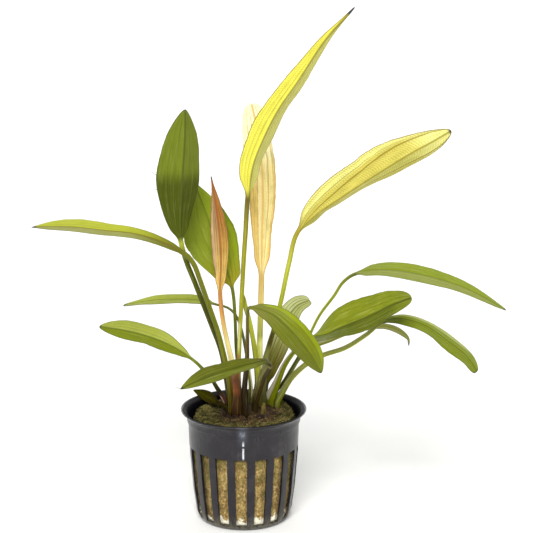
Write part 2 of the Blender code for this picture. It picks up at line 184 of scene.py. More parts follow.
def add_piece(name, vertices, faces, paint, node=None, marks=None):
    """A smooth piece, given in mm, that rides on the whole object and may stand for a solid."""
    mesh = bpy.data.meshes.new(name)
    mesh.from_pydata((np.asarray(vertices, float) * MM).tolist(), [], faces)
    mesh.polygons.foreach_set("use_smooth", [True] * len(mesh.polygons))
    for key, values in (marks or {}).items():
        layer = mesh.attributes.new(key, "FLOAT", "POINT")
        layer.data.foreach_set("value", np.asarray(values, np.float32).ravel())
    mesh.materials.append(paint.material)
    piece = bpy.data.objects.new(name, mesh)
    bpy.context.scene.collection.objects.link(piece)
    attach(piece, "root")
    if node:
        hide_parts(node)
    return piece


def polar(radius, a):
    return radius * math.cos(a), radius * math.sin(a)


def wall_radius(height):
    """The outside of the pot's wall below the collar."""
    heights, radii = zip(*WALL_STATIONS)
    return float(np.interp(height, heights, radii))


def pot_rows():
    """Radius and height down the outer skin, from the middle of the floor up to the rim's lip."""
    rows = [(r, 0.0) for r in (2.5, 5.0, DRAIN_IN, 9.5, 12.0, 14.2, DRAIN_OUT, 16.9)]
    for turn in (90, 80, 70, 60, 50, 41.42, 32, 22, 11):
        a = math.radians(turn)
        rows.append((FOOT_RADIUS + CORNER_REACH * math.cos(a), CORNER_HEIGHT * (1 - math.sin(a))))
    rows += [(wall_radius(z), z) for z in (6.5, 10, 14, 18, 22, 26, 31, SLOT_HIGH, 35.5, 38, 41, 43.9)]
    rows += [(24.38, 44.2), (24.75, 44.42), (24.84, 44.8), (24.92, 46.0), (25.1, 47.1)]
    rows += [(25.45, 47.8), (26.1, 48.45), (26.9, 48.95), (27.38, 49.3), (27.5, 49.62), (27.4, 49.88)]
    return rows


def slot_half_angle(radius, height):
    """Half the angle that a slot takes at one row; rows between slots keep to the same lines."""
    if height < SLACK:
        share = np.clip((radius - DRAIN_IN) / (DRAIN_OUT - DRAIN_IN), 0, 1)
        width = DRAIN_WIDTH_IN + (DRAIN_WIDTH_OUT - DRAIN_WIDTH_IN) * share
        radius = max(radius, DRAIN_IN)
    else:
        low_share = np.clip(height / SLOT_LOW, 0, 1)
        share = np.clip((height - SLOT_LOW) / (SLOT_HIGH - SLOT_LOW), 0, 1)
        width = SLOT_WIDTH_LOW + (SLOT_WIDTH_HIGH - SLOT_WIDTH_LOW) * share
        width = DRAIN_WIDTH_OUT + (width - DRAIN_WIDTH_OUT) * low_share
    return math.asin(width / 2 / radius)


def pot_skin():
    """The outer skin with its slots left out, as points and faces that look outwards."""
    pitch = math.tau / SLOTS
    rows = pot_rows()
    points = [(0.0, 0.0, 0.0)]
    for radius, height in rows:
        half = slot_half_angle(radius, height)
        for i in range(SLOTS):
            middle = FRONT_SLOT + i * pitch
            over_slot = [middle - half + 2 * half * k / COLUMNS for k in range(COLUMNS)]
            over_rib = [middle + half + (pitch - 2 * half) * k / COLUMNS for k in range(COLUMNS)]
            for a in over_slot + over_rib:
                nick = math.exp(-((a - NICK_ANGLE) / NICK_SPREAD) ** 2) if height > NICK_FROM else 0.0
                points.append((*polar(radius - NICK_DEEP * nick, a), height - NICK_DROP * nick))
    across = 2 * COLUMNS * SLOTS
    faces = [(0, 1 + (k + 1) % across, 1 + k) for k in range(across)]
    for i, ((r_low, z_low), (r_high, z_high)) in enumerate(zip(rows, rows[1:])):
        drain = z_high < SLACK and r_low >= DRAIN_IN - SLACK and r_high <= DRAIN_OUT + SLACK
        slot = z_low >= SLOT_LOW - SLACK and z_high <= SLOT_HIGH + SLACK
        for k in range(across):
            if (drain or slot) and k % (2 * COLUMNS) < COLUMNS:
                continue
            a, b = 1 + i * across + k, 1 + i * across + (k + 1) % across
            faces.append((a, b, b + across, a + across))
    return points, faces


def pot_plastic():
    """Nearly black, a little smudged and dusty, with painted reflected light near the foot and painted
    highlights on the band in front: a sheen, glints and a pale line down the middle.
    """
    paint = Paint("black_plastic", specular_ior_level=0.4)
    place = paint.place()
    x, y, z = map(paint.axis, "XYZ")
    streak = paint.cloud(paint.stretch(place, (900.0, 900.0, 120.0)), 1.0, 2.0)
    smudge = paint.cloud(place, 130.0, 4.0)
    grain = paint.cloud(place, 2600.0, 2.0)
    tone = paint.mix(paint.step(smudge, 0.42, 0.68), rgb(26, 23, 29), rgb(38, 35, 40))
    dusty = paint.step(smudge + streak * 0.5, 0.84, 1.0)
    tone = paint.mix(dusty * 0.3, tone, rgb(88, 84, 84))
    # Painted reflected light: paler, yellower streaks near the foot.
    low = paint.step(z, 0.009, 0.001) * paint.step(streak, 0.3, 0.6)
    tone = paint.mix(low * 0.5, tone, rgb(112, 106, 78))
    in_front = paint.step(y, -0.018, -0.02)
    # Painted highlights on the front: a soft sheen on the band, glints on the collar and a bright line down
    # the middle.
    sheen = paint.step(abs(x + 0.0002), 0.0034, 0.0004) * paint.step(z, 0.038, 0.046)
    glints = paint.step(abs(x + 0.0003), 0.0017, 0.0006) * paint.band(z, 0.0436, 0.0448, 0.0462, 0.0476)
    glints = glints * paint.step(grain, 0.42, 0.62)
    highlight_line = paint.step(abs(x - 0.0001), 0.0006, 0.0001) * paint.band(z, 0.0338, 0.0352, 0.041, 0.0432)
    highlight_line = highlight_line * paint.step(abs(z - 0.0399), 0.0003, 0.0007) * paint.step(grain, 0.28, 0.46)
    tone = paint.mix(in_front * sheen * 0.22, tone, rgb(120, 128, 142))
    tone = paint.mix(in_front * glints * 0.5, tone, rgb(168, 176, 190))
    tone = paint.mix(in_front * highlight_line * 0.9, tone, rgb(226, 228, 236))
    paint.wear("Base Color", tone)
    paint.wear("Roughness", 0.24 + streak * 0.1 + dusty * 0.2)
    paint.bump(grain * 0.5 + streak + smudge * 2.0, 0.00006)
    return paint


def pot_lining():
    """The inside, nearly black under the flare from wet algae and shade."""
    paint = Paint("pot_lining", specular_ior_level=0.03)
    film = paint.cloud(paint.place(), 300.0, 4.0)
    flare = paint.step(paint.axis("Z"), 0.0481, 0.0493)
    deep = paint.mix(paint.step(film, 0.5, 0.7), rgb(6, 4, 10), rgb(14, 12, 11))
    paint.wear("Base Color", paint.mix(flare, deep, rgb(44, 42, 44)))
    paint.wear("Roughness", 0.8 - flare * 0.4 + (film - 0.5) * 0.3)
    return paint


points, faces = pot_skin()
pot = add_piece("net_pot", points, faces, pot_plastic(), "pot")
pot.data.materials.append(pot_lining().material)
shell = pot.modifiers.new("wall", "SOLIDIFY")
shell.thickness = WALL * MM
shell.offset = -1.0
shell.use_even_offset = True
shell.material_offset = 1
edges = pot.modifiers.new("edges", "BEVEL")
edges.width = 0.14 * MM
edges.segments = 2
edges.limit_method = "ANGLE"
edges.angle_limit = math.radians(38)
edges.harden_normals = True


# Rock wool
# A plug of mineral fibres wrapped round the roots and pushed into the pot, where it swells a little into
# the slots. It is golden brown and green where algae got at it, with loose fibres all over. Painted shade
# darkens its sides, and painted light makes it nearly white at its foot.
WOOL_ROUND = 272
WOOL_GAP = 0.3
WOOL_FOOT = 1.7
WOOL_FLAT = 18
WOOL_SWELL = 0.55
WOOL_FIBRES = 1500
STRAND_SIDES = 3


def wobble(x, y, z, scale, seed=0.0):
    """Noise from about -1 to 1 at a place in mm, with features of the given size in mm."""
    return noise.noise(Vector((x / scale + seed, y / scale, z / scale)))


def wool_radius(height):
    """The plug's outside, which follows the inside of the wall and of the rounded corner under it."""
    if height > CORNER_HEIGHT:
        return wall_radius(height) - WALL - WOOL_GAP
    a = math.asin(1 - height / CORNER_HEIGHT)
    return FOOT_RADIUS + CORNER_REACH * math.cos(a) - WALL - WOOL_GAP


def wool_rows():
    rows = [(r, WOOL_FOOT) for r in (0.5, 5, 10, 14, 17)]
    rows += [(wool_radius(z), z) for z in np.arange(WOOL_FOOT + 0.3, 43.1, 0.8)]
    rows += [(22.5, 43.9), (21.9, 44.8), (21.0, 45.5), (19.5, 45.9)]
    rows += [(r, 46.3) for r in (17.5, 14, 10, 5, 0.5)]
    return rows


def ring_faces(rings, around, first=0, flip=False):
    """Faces between closed rings of points, each ring joined to the next."""
    faces = []
    for i in range(rings - 1):
        for k in range(around):
            a, b = first + i * around + k, first + i * around + (k + 1) % around
            faces.append((a, a + around, b + around, b) if flip else (a, b, b + around, a + around))
    return faces


def tube_faces(rings, around, first=0):
    """Faces of a tube with a cap on each end."""
    last = first + (rings - 1) * around
    caps = [tuple(reversed(range(first, first + around))), tuple(range(last, last + around))]
    return ring_faces(rings, around, first) + caps


def wool_skin():
    """The plug, lumpy all over, and pushed out a little in each slot."""
    rows = wool_rows()
    points = []
    for radius, height in rows:
        for k in range(WOOL_ROUND):
            a = math.tau * k / WOOL_ROUND
            in_slot = max(0.0, math.cos((a - FRONT_SLOT) * SLOTS)) ** 0.7
            side = 1.0 if SLOT_LOW + 1 < height < SLOT_HIGH - 0.8 and radius > WOOL_FLAT else 0.0
            x, y = polar(radius, a)
            lumps = 0.24 * wobble(x, y, height, 1.6) + 0.16 * wobble(x, y, height, 0.7, 9.0)
            lumps += 0.25 * wobble(x, y, height, 5.0, 4.0) - 0.25
            out = radius + (lumps + WOOL_SWELL * in_slot * side if radius > 1 else 0.0)
            points.append((*polar(out, a), height + lumps * 0.4 * (radius < WOOL_FLAT)))
    return points, tube_faces(len(rows), WOOL_ROUND)


def grow_strands(strands):
    """Thin tapering tubes: each strand is a row of points in mm, a thickness and a tint."""
    points, faces, tints = [], [], []
    for row, thick, tint in strands:
        faces += tube_faces(len(row), STRAND_SIDES, len(points))
        for i, p in enumerate(row):
            along = (row[min(i + 1, len(row) - 1)] - row[max(i - 1, 0)]).normalized()
            side = along.orthogonal().normalized()
            over = along.cross(side)
            radius = thick / 2 * (1 - 0.75 * i / (len(row) - 1))
            for k in range(STRAND_SIDES):
                x, y = polar(radius, math.tau * k / STRAND_SIDES)
                points.append(p + side * x + over * y)
                tints.append(tint)
    return points, faces, tints


def wool_strands():
    """Fibres that lie on the plug in its slots, with their ends standing off."""
    dice = random.Random(11)
    strands = []
    for _ in range(WOOL_FIBRES):
        middle = FRONT_SLOT + math.tau * dice.randrange(SLOTS) / SLOTS
        a = dice.uniform(-0.1, 0.1)
        z = dice.uniform(SLOT_LOW + 0.8, SLOT_HIGH - 0.6)
        heading = dice.uniform(0, math.tau)
        length = dice.uniform(1.0, 3.2)
        bend = dice.uniform(-0.6, 0.6)
        lift = dice.uniform(0.1, 0.55)
        row = []
        for i in range(6):
            share = i / 5
            turn = heading + bend * share
            height = min(max(z + length * share * math.sin(turn), SLOT_LOW + 0.5), SLOT_HIGH - 0.3)
            out = wool_radius(height) + 0.3 + lift * share * share
            at = middle + min(max(a + length * share * math.cos(turn) / out, -0.1), 0.1)
            row.append(Vector((*polar(out, at), height)))
        strands.append((row, dice.uniform(0.07, 0.15), dice.random()))
    return strands


def wool_paint(name, fibre=False):
    """Golden brown fibres in front, greener to the sides and darker there with painted shade, and nearly
    white at the very foot with painted light.
    """
    paint = Paint(name, roughness=0.95, specular_ior_level=0.1)
    place = paint.place()
    patch = paint.cloud(place, 230.0, 4.0, 0.65)
    speck = paint.cloud(paint.stretch(place, (1.0, 1.0, 0.7)), 1300.0, 3.0, 0.7)
    algae = paint.cloud(paint.stretch(place, (1.0, 1.0, 0.6)), 330.0, 4.0, 0.6)
    height = paint.axis("Z")
    aside = abs(paint.axis("X") - 0.001)
    tone = paint.mix(paint.step(patch, 0.35, 0.68), rgb(176, 148, 88), rgb(128, 100, 54))
    tone = paint.mix(paint.step(speck, 0.48, 0.7) * 0.8, tone, rgb(80, 66, 38))
    tone = paint.mix(paint.step(speck, 0.5, 0.3), tone, rgb(212, 192, 138))
    # Painted shade: darker browns towards the sides.
    sides = paint.step(aside + (patch - 0.5) * 0.006, 0.012, 0.019)
    brown = paint.mix(paint.step(speck, 0.4, 0.6), rgb(96, 76, 50), rgb(40, 34, 24))
    tone = paint.mix(sides * 0.65, tone, brown)
    green = paint.step(algae + height * 7.0 + sides * 0.08, 0.6, 0.8)
    tone = paint.mix(green * 0.6, tone, rgb(84, 86, 40))
    # Painted light: nearly white at the very foot, where the bright floor shows through the slots.
    foot = paint.step(height + (patch - 0.5) * 0.016, 0.0058, 0.0046)
    tone = paint.mix(foot * 0.92, tone, rgb(255, 252, 232))
    if fibre:
        tone = paint.mix(paint.mark("tint") * 0.7, tone, rgb(214, 196, 146))
    paint.wear("Base Color", tone)
    paint.bump(speck + patch, 0.0004)
    return paint


points, faces = wool_skin()
add_piece("rock_wool", points, faces, wool_paint("rock_wool"), "rock_wool_plug")
points, faces, tints = grow_strands(wool_strands())
add_piece("wool_fibres", points, faces, wool_paint("wool_fibre", True), marks={"tint": tints})


# Moss and algae
# Moss, algae and brown crumbs of old leaf cover the plug's top. They stand in low cushions, green on the left
# and at the back right, and brown round the crown. The cushions are made of short blades and small crumbs.
MOSS_RADIUS, MOSS_EDGE = 22.4, 19.6
MOSS_DROP = 4.0
MOSS_FOOT, MOSS_TOP = 41.8, 46.5
MOSS_RINGS, MOSS_SPOKES = 76, 260
MOSS_BLADES = 8000
CRUMBS = 1600
BROWN_CENTRE, BROWN_HALF = (2.5, -5.0), (14.0, 12.0)
# Each mound's place, its radius and its height.
MOUNDS = ((17, 10, 6, 2.5), (21, 1, 5, 1.9), (-16, 6, 6, 1.6), (-15, -8, 6, 1.1), (9, -15, 6, 0.8),
          (13, -3, 5, 1.3), (-4, 17, 6, 1.2), (8, 16, 6, 1.5), (-12, 13, 5, 0.9), (1.5, -9, 5.5, 2.4),
          (13, 1.5, 4.5, 1.4))


def moss_height(x, y):
    """The moss bed's surface in mm: mounds, round cushions between dark gaps, and a drop at its rim."""
    height = MOSS_TOP
    for mx, my, wide, high in MOUNDS:
        height += high * math.exp(-((x - mx) ** 2 + (y - my) ** 2) / wide ** 2)
    height += 1.1 * (0.35 - abs(wobble(x, y, 0.0, 3.6, 2.0))) + 0.6 * (0.3 - abs(wobble(x, y, 0.0, 1.5, 7.0)))
    past_edge = max(0.0, (math.hypot(x, y) - MOSS_EDGE) / (MOSS_RADIUS - MOSS_EDGE))
    return height - MOSS_DROP * past_edge ** 2


def brownness(x, y):
    """From 0 in the green parts of the bed to 1 in the brown part round the crown."""
    round_crown = math.hypot((x - BROWN_CENTRE[0]) / BROWN_HALF[0], (y - BROWN_CENTRE[1]) / BROWN_HALF[1])
    return min(max(1.6 - 1.25 * round_crown + 0.5 * wobble(x, y, 0.0, 4.0, 5.0), 0.0), 1.0)


def moss_bed():
    """The bed, whose last ring turns under it, and how brown it is at each point."""
    points, brown = [], []
    for i in range(MOSS_RINGS + 1):
        radius = MOSS_RADIUS * (i + 0.02) / MOSS_RINGS
        for k in range(MOSS_SPOKES):
            x, y = polar(radius, math.tau * k / MOSS_SPOKES)
            points.append((x, y, moss_height(x, y) + 0.16 * wobble(x, y, 0.0, 0.5, 3.0)))
            brown.append(brownness(x, y))
    under = len(points)
    for k in range(MOSS_SPOKES):
        points.append((*polar(MOSS_RADIUS * 0.97, math.tau * k / MOSS_SPOKES), MOSS_FOOT))
        brown.append(0.5)
    faces = ring_faces(MOSS_RINGS + 2, MOSS_SPOKES, flip=True)
    faces.append(tuple(reversed(range(under, under + MOSS_SPOKES))))
    faces.append(tuple(range(MOSS_SPOKES)))
    return points, faces, brown


def moss_spot(dice):
    radius = MOSS_RADIUS * math.sqrt(dice.random()) * 0.98
    return polar(radius, dice.uniform(0, math.tau))


def moss_strands():
    dice = random.Random(23)
    strands = []
    while len(strands) < MOSS_BLADES:
        x, y = moss_spot(dice)
        tuft = 0.5 + wobble(x, y, 0.0, 1.7, 12.0)
        if dice.random() > tuft + 0.25:
            continue
        brown = brownness(x, y)
        length = dice.uniform(0.5, 1.5) * (1.0 - 0.35 * brown) * (0.6 + 0.8 * tuft)
        lean = Vector((dice.uniform(-1, 1), dice.uniform(-1, 1), dice.uniform(0.3, 1.3))).normalized()
        sag = dice.uniform(0.1, 0.6)
        foot = Vector((x, y, moss_height(x, y) - 0.15))
        row = [foot + lean * (length * s) - Vector((0, 0, sag * length * s * s)) for s in (0, 0.4, 0.75, 1.0)]
        tint = 0.6 * brown + 0.4 * dice.random() * (0.3 + 0.7 * brown)
        strands.append((row, dice.uniform(0.16, 0.34), tint))
    return strands


def moss_crumbs():
    """Small uneven lumps, each a squashed and shaken icosphere."""
    dice = random.Random(31)
    template = bmesh.new()
    bmesh.ops.create_icosphere(template, subdivisions=1, radius=1.0)
    shape = [v.co.copy() for v in template.verts]
    loops = [[v.index for v in f.verts] for f in template.faces]
    template.free()
    points, faces, tints = [], [], []
    for _ in range(CRUMBS):
        x, y = moss_spot(dice)
        size = dice.uniform(0.18, 0.5)
        flat = dice.uniform(0.5, 1.0)
        tint = min(1.0, 0.55 * brownness(x, y) + 0.6 * dice.random())
        turn = dice.uniform(0, math.pi)
        first = len(points)
        for v in shape:
            jog = size * dice.uniform(0.8, 1.2)
            px, py = v.x * math.cos(turn) - v.y * math.sin(turn), v.x * math.sin(turn) + v.y * math.cos(turn)
            points.append((x + px * jog * 1.3, y + py * jog, moss_height(x, y) + 0.12 + v.z * jog * flat))
            tints.append(tint)
        faces += [tuple(first + i for i in loop) for loop in loops]
    return points, faces, tints


def moss_paint(name, mark, under_shade=0.0):
    """Green to brown by a number on the mesh, mottled, with khaki and dark flecks."""
    paint = Paint(name, roughness=0.95, specular_ior_level=0.12)
    place = paint.place()
    brown = paint.mark(mark)
    mottle = paint.cloud(place, 380.0, 4.0, 0.65)
    grain = paint.cloud(place, 1500.0, 3.0, 0.7)
    green = paint.mix(paint.step(mottle, 0.38, 0.62), rgb(66, 66, 30), rgb(140, 132, 74))
    earth = paint.mix(paint.step(mottle, 0.38, 0.62), rgb(60, 42, 30), rgb(116, 92, 62))
    tone = paint.mix(paint.step(brown + (mottle - 0.5) * 0.8, 0.25, 0.7), green, earth)
    tone = paint.mix(paint.step(grain, 0.58, 0.7), tone, rgb(186, 172, 112))
    tone = paint.mix(paint.step(grain, 0.46, 0.34), tone, rgb(24, 20, 12))
    # Painted shade: the bed under the blades and crumbs is darkened towards black.
    tone = paint.mix(under_shade, tone, rgb(22, 18, 10))
    paint.wear("Base Color", tone)
    paint.bump(grain + mottle, 0.0004)
    return paint


points, faces, brown = moss_bed()
bed_paint = moss_paint("moss_bed", "brown", 0.45)
add_piece("moss_bed", points, faces, bed_paint, marks={"brown": brown})
tuft_paint = moss_paint("moss_tuft", "tint")
points, faces, tints = grow_strands(moss_strands())
add_piece("moss_blades", points, faces, tuft_paint, marks={"tint": tints})
points, faces, tints = moss_crumbs()
add_piece("moss_crumbs", points, faces, tuft_paint, marks={"tint": tints})


# Crown
# The plant's short, knobbly stem, which sits in the moss. Torn brown sheaths of old leaves still stand round
# it, and every stalk grows from it.
CROWN_CENTRE = (3.5, 1.5)
CROWN_HALF = (14.2, 10.7)
CROWN_FOOT = 46.6
CROWN_HEIGHT = 4.0
CROWN_RINGS, CROWN_SPOKES = 26, 120
SHEATH_STEPS, SHEATH_LANES = 16, 9
SHEATH_TONES = ((0.0, 50, 34, 32), (0.25, 96, 66, 36), (0.6, 140, 126, 60), (1.0, 204, 198, 160))
# Each sheath's place, height, width and tint.
OLD_SHEATHS = (
    (-3.6, -7.6, 2.8, 3.4, 0.1), (4.6, -8.6, 2.6, 4.0, 0.0), (7.8, -7.6, 2.9, 4.2, 0.0),
    (8.6, -4.8, 7.4, 3.0, 0.5), (12.4, -4.2, 3.0, 3.4, 0.1), (-8.2, -3.6, 3.6, 3.2, 0.1),
    (-5.5, 6.8, 9.0, 4.0, 0.35), (-0.6, 9.6, 8.0, 4.2, 0.25), (6.6, 9.4, 9.0, 4.0, 0.4),
    (15.2, 7.2, 5.0, 3.6, 0.3),
)


def crown_skin():
    """A low dome with knobs round its side, closed below by one flat face."""
    points = [(*CROWN_CENTRE, CROWN_FOOT + CROWN_HEIGHT)]
    for i in range(1, CROWN_RINGS + 1):
        a = math.pi / 2 * i / CROWN_RINGS
        for k in range(CROWN_SPOKES):
            t = math.tau * k / CROWN_SPOKES
            knob = 1 + 0.07 * math.sin(9 * t + 4 * math.sin(3 * a)) * math.sin(2 * a)
            x = CROWN_CENTRE[0] + CROWN_HALF[0] * math.sin(a) * math.cos(t) * knob
            y = CROWN_CENTRE[1] + CROWN_HALF[1] * math.sin(a) * math.sin(t) * knob
            z = CROWN_FOOT + CROWN_HEIGHT * math.cos(a) + 0.35 * wobble(x, y, 0.0, 1.8, 6.0)
            points.append((x, y, z))
    faces = [(0, 1 + k, 1 + (k + 1) % CROWN_SPOKES) for k in range(CROWN_SPOKES)]
    faces += ring_faces(CROWN_RINGS, CROWN_SPOKES, 1, flip=True)
    faces.append(tuple(reversed(range(len(points) - CROWN_SPOKES, len(points)))))
    return points, faces


def sheath_skin(sheaths):
    """Torn sheaths, each a thin curved strip with a ragged top that leans away from the crown."""
    points, faces, tints = [], [], []
    for x, y, tall, wide, tint in sheaths:
        out = Vector((x - CROWN_CENTRE[0], y - CROWN_CENTRE[1], 0.0)).normalized()
        side = Vector((-out.y, out.x, 0.0))
        first = len(points)
        for skin in (0.0, 0.35):
            for i in range(SHEATH_STEPS + 1):
                s = i / SHEATH_STEPS
                narrow = wide / 2 * (1 - 0.55 * s ** 3) * (1 + 0.2 * wobble(x + s * tall, y, 0.0, 3.0))
                for k in range(SHEATH_LANES):
                    v = 2 * k / (SHEATH_LANES - 1) - 1
                    torn = tall * (s - 0.16 * s ** 4 * (0.5 + wobble(x * 3 + v * 2, y, 0.0, 1.3, 8.0)))
                    bow = 1.1 * (1 - v * v) * (1 - 0.4 * s) - skin
                    lean = 0.06 * torn + 0.25 * wobble(x, y, torn, 3.0)
                    p = Vector((x, y, CROWN_FOOT)) + side * (v * narrow) + out * (bow + lean)
                    points.append((p.x, p.y, p.z + torn))
                    tints.append(tint)
        across = SHEATH_LANES
        skin_size = (SHEATH_STEPS + 1) * across
        for i in range(SHEATH_STEPS):
            for k in range(across - 1):
                a = first + i * across + k
                faces.append((a, a + 1, a + 1 + across, a + across))
                b = a + skin_size
                faces.append((b, b + across, b + across + 1, b + 1))
        border = list(range(across))
        border += [i * across + across - 1 for i in range(1, SHEATH_STEPS + 1)]
        border += [SHEATH_STEPS * across + k for k in range(across - 2, -1, -1)]
        border += [i * across for i in range(SHEATH_STEPS - 1, 0, -1)]
        for a, b in zip(border, border[1:] + border[:1]):
            faces.append((first + b, first + a, first + skin_size + a, first + skin_size + b))
    return points, faces, tints


def crown_paint(name, torn=False):
    paint = Paint(name, roughness=0.8, specular_ior_level=0.25)
    place = paint.place()
    fibres = paint.cloud(paint.stretch(place, (1.0, 1.0, 0.25)), 1100.0, 4.0, 0.65)
    patch = paint.cloud(place, 300.0, 3.0)
    # The bark's browns are kept dark, partly as painted shade under the leaves.
    tone = paint.mix(paint.step(fibres, 0.35, 0.65), rgb(36, 27, 19), rgb(76, 57, 34))
    tone = paint.mix(paint.step(patch, 0.52, 0.7) * 0.7, tone, rgb(84, 72, 34))
    if torn:
        old = paint.ramp(paint.mark("tint"), SHEATH_TONES)
        dark = paint.mix(1.0, old, (0.35, 0.3, 0.28), "MULTIPLY")
        tone = paint.mix(paint.step(fibres * 0.8 + patch * 0.2, 0.38, 0.62), old, dark)
    paint.wear("Base Color", tone)
    paint.bump(fibres, 0.0005)
    return paint


points, faces = crown_skin()
add_piece("crown_stem", points, faces, crown_paint("crown_bark"), "crown")
points, faces, tints = sheath_skin(OLD_SHEATHS)
add_piece("old_sheaths", points, faces, crown_paint("old_sheath", True), marks={"tint": tints})


# Leaves
# Each leaf is one piece: a stalk with a sheath at its foot that flattens into a lance-shaped blade. A round
# midrib stands proud of the blade's underside, side veins arch from base to tip, and fine veins join them.
SHEATH_PLACES = (0.0, 5.0, 14.0, 34.0)
STALK_WIDE = (4.8, 3.9, 2.8, 2.1)
STALK_DEEP = (2.6, 2.3, 2.0, 1.7)
FOOT, FOOT_DEPTH = 51.5, 3.4
FLAT_AFTER, FOLDED_AFTER = 1 / 9, 1 / 5
BLADE_THICK = 0.42
ROUTE_STEPS = 24
STALK_STEP, BLADE_STEP = 1.8, 0.62
MARGIN_WIDE = 0.42
RIB_WIDE = (0.75, 0.4)
RIB_HIGH = (STALK_DEEP[3] / 2 - 0.15, 0.2)
# How far out each side vein lies, where its line fades out and is full, and how strong it is.
VEINS = ((0.33, 0.045, 0.012, 1.0), (0.61, 0.04, 0.012, 0.65), (0.85, 0.035, 0.01, 0.4))
VEIN_LANES = tuple(vein[0] for vein in VEINS)
LANES = np.array([0, 0.035, 0.07, 0.11, 0.16, 0.21, 0.26, 0.3, 0.33, 0.36, 0.41, 0.47, 0.53, 0.58, 0.61, 0.64,
                  0.68, 0.73, 0.78, 0.82, 0.85, 0.88, 0.92, 0.955, 0.98, 0.994, 1.0])


def ease(share):
    share = np.clip(share, 0.0, 1.0)
    return share * share * (3 - 2 * share)


def unit(rows):
    return rows / np.linalg.norm(rows, axis=-1, keepdims=True)


def smooth_route(points):
    """A fine line on a smooth curve through the points."""
    p = np.asarray(points, float)
    slope = unit(np.vstack([p[1:], p[-1:]]) - np.vstack([p[:1], p[:-1]]))
    t = (np.arange(ROUTE_STEPS) / ROUTE_STEPS)[:, None]
    pieces = []
    for a, b, at_a, at_b in zip(p, p[1:], slope, slope[1:]):
        reach = np.linalg.norm(b - a) / 3
        c, d = a + at_a * reach, b - at_b * reach
        pieces.append((1 - t) ** 3 * a + 3 * (1 - t) ** 2 * t * c + 3 * (1 - t) * t * t * d + t ** 3 * b)
    return np.vstack(pieces + [p[-1:]])


def blade_width(share, widest, base_taper, tip_taper):
    """Half of a blade's width at a share of its length, as a share of the largest."""
    warp = math.log(0.5) / math.log(widest)
    swell = np.maximum(np.sin(math.pi * np.clip(share, 0, 1) ** warp), 0.0)
    return swell ** (base_taper + (tip_taper - base_taper) * share)


def lane_places(share, at_base, at_tip):
    """How far out each lane lies: a side vein may start near the midrib and end near the margin."""
    base = np.interp(LANES, (0, *VEIN_LANES, 1), (0, *at_base, 1))
    tip = np.interp(LANES, (0, *VEIN_LANES, 1), (0, *at_tip, 1))
    return base + (tip - base) * share[:, None]


def half_section(half, share, places, side, fold, curls):
    """One half of the blade's middle surface: how far out and how high each lane lies, in mm."""
    angle = (math.radians(fold) * ease(share / FOLDED_AFTER))[:, None] * np.tanh(places / 0.09)
    for where, low, high, start, turn in curls:
        if where == side:
            strength = ease((share - low) / 0.15) * (1 - ease((share - high) / 0.15))
            angle = angle + math.radians(turn) * strength[:, None] * ease((places - start) / 0.16)
    step = np.diff(places, axis=1, prepend=0.0)
    middle = (angle + np.hstack([angle[:, :1], angle[:, :-1]])) / 2
    return [np.cumsum(part(middle) * step, axis=1) * half[:, None] for part in (np.cos, np.sin)]


def margin_wander(distance, seed, amount):
    """The margin isn't quite even: how far it strays, as a share of the half width."""
    stray = [wobble(d, seed, 0.0, 3.5) + 0.6 * wobble(d, seed, 5.0, 1.3) for d in distance]
    return 1 + amount * np.array(stray)


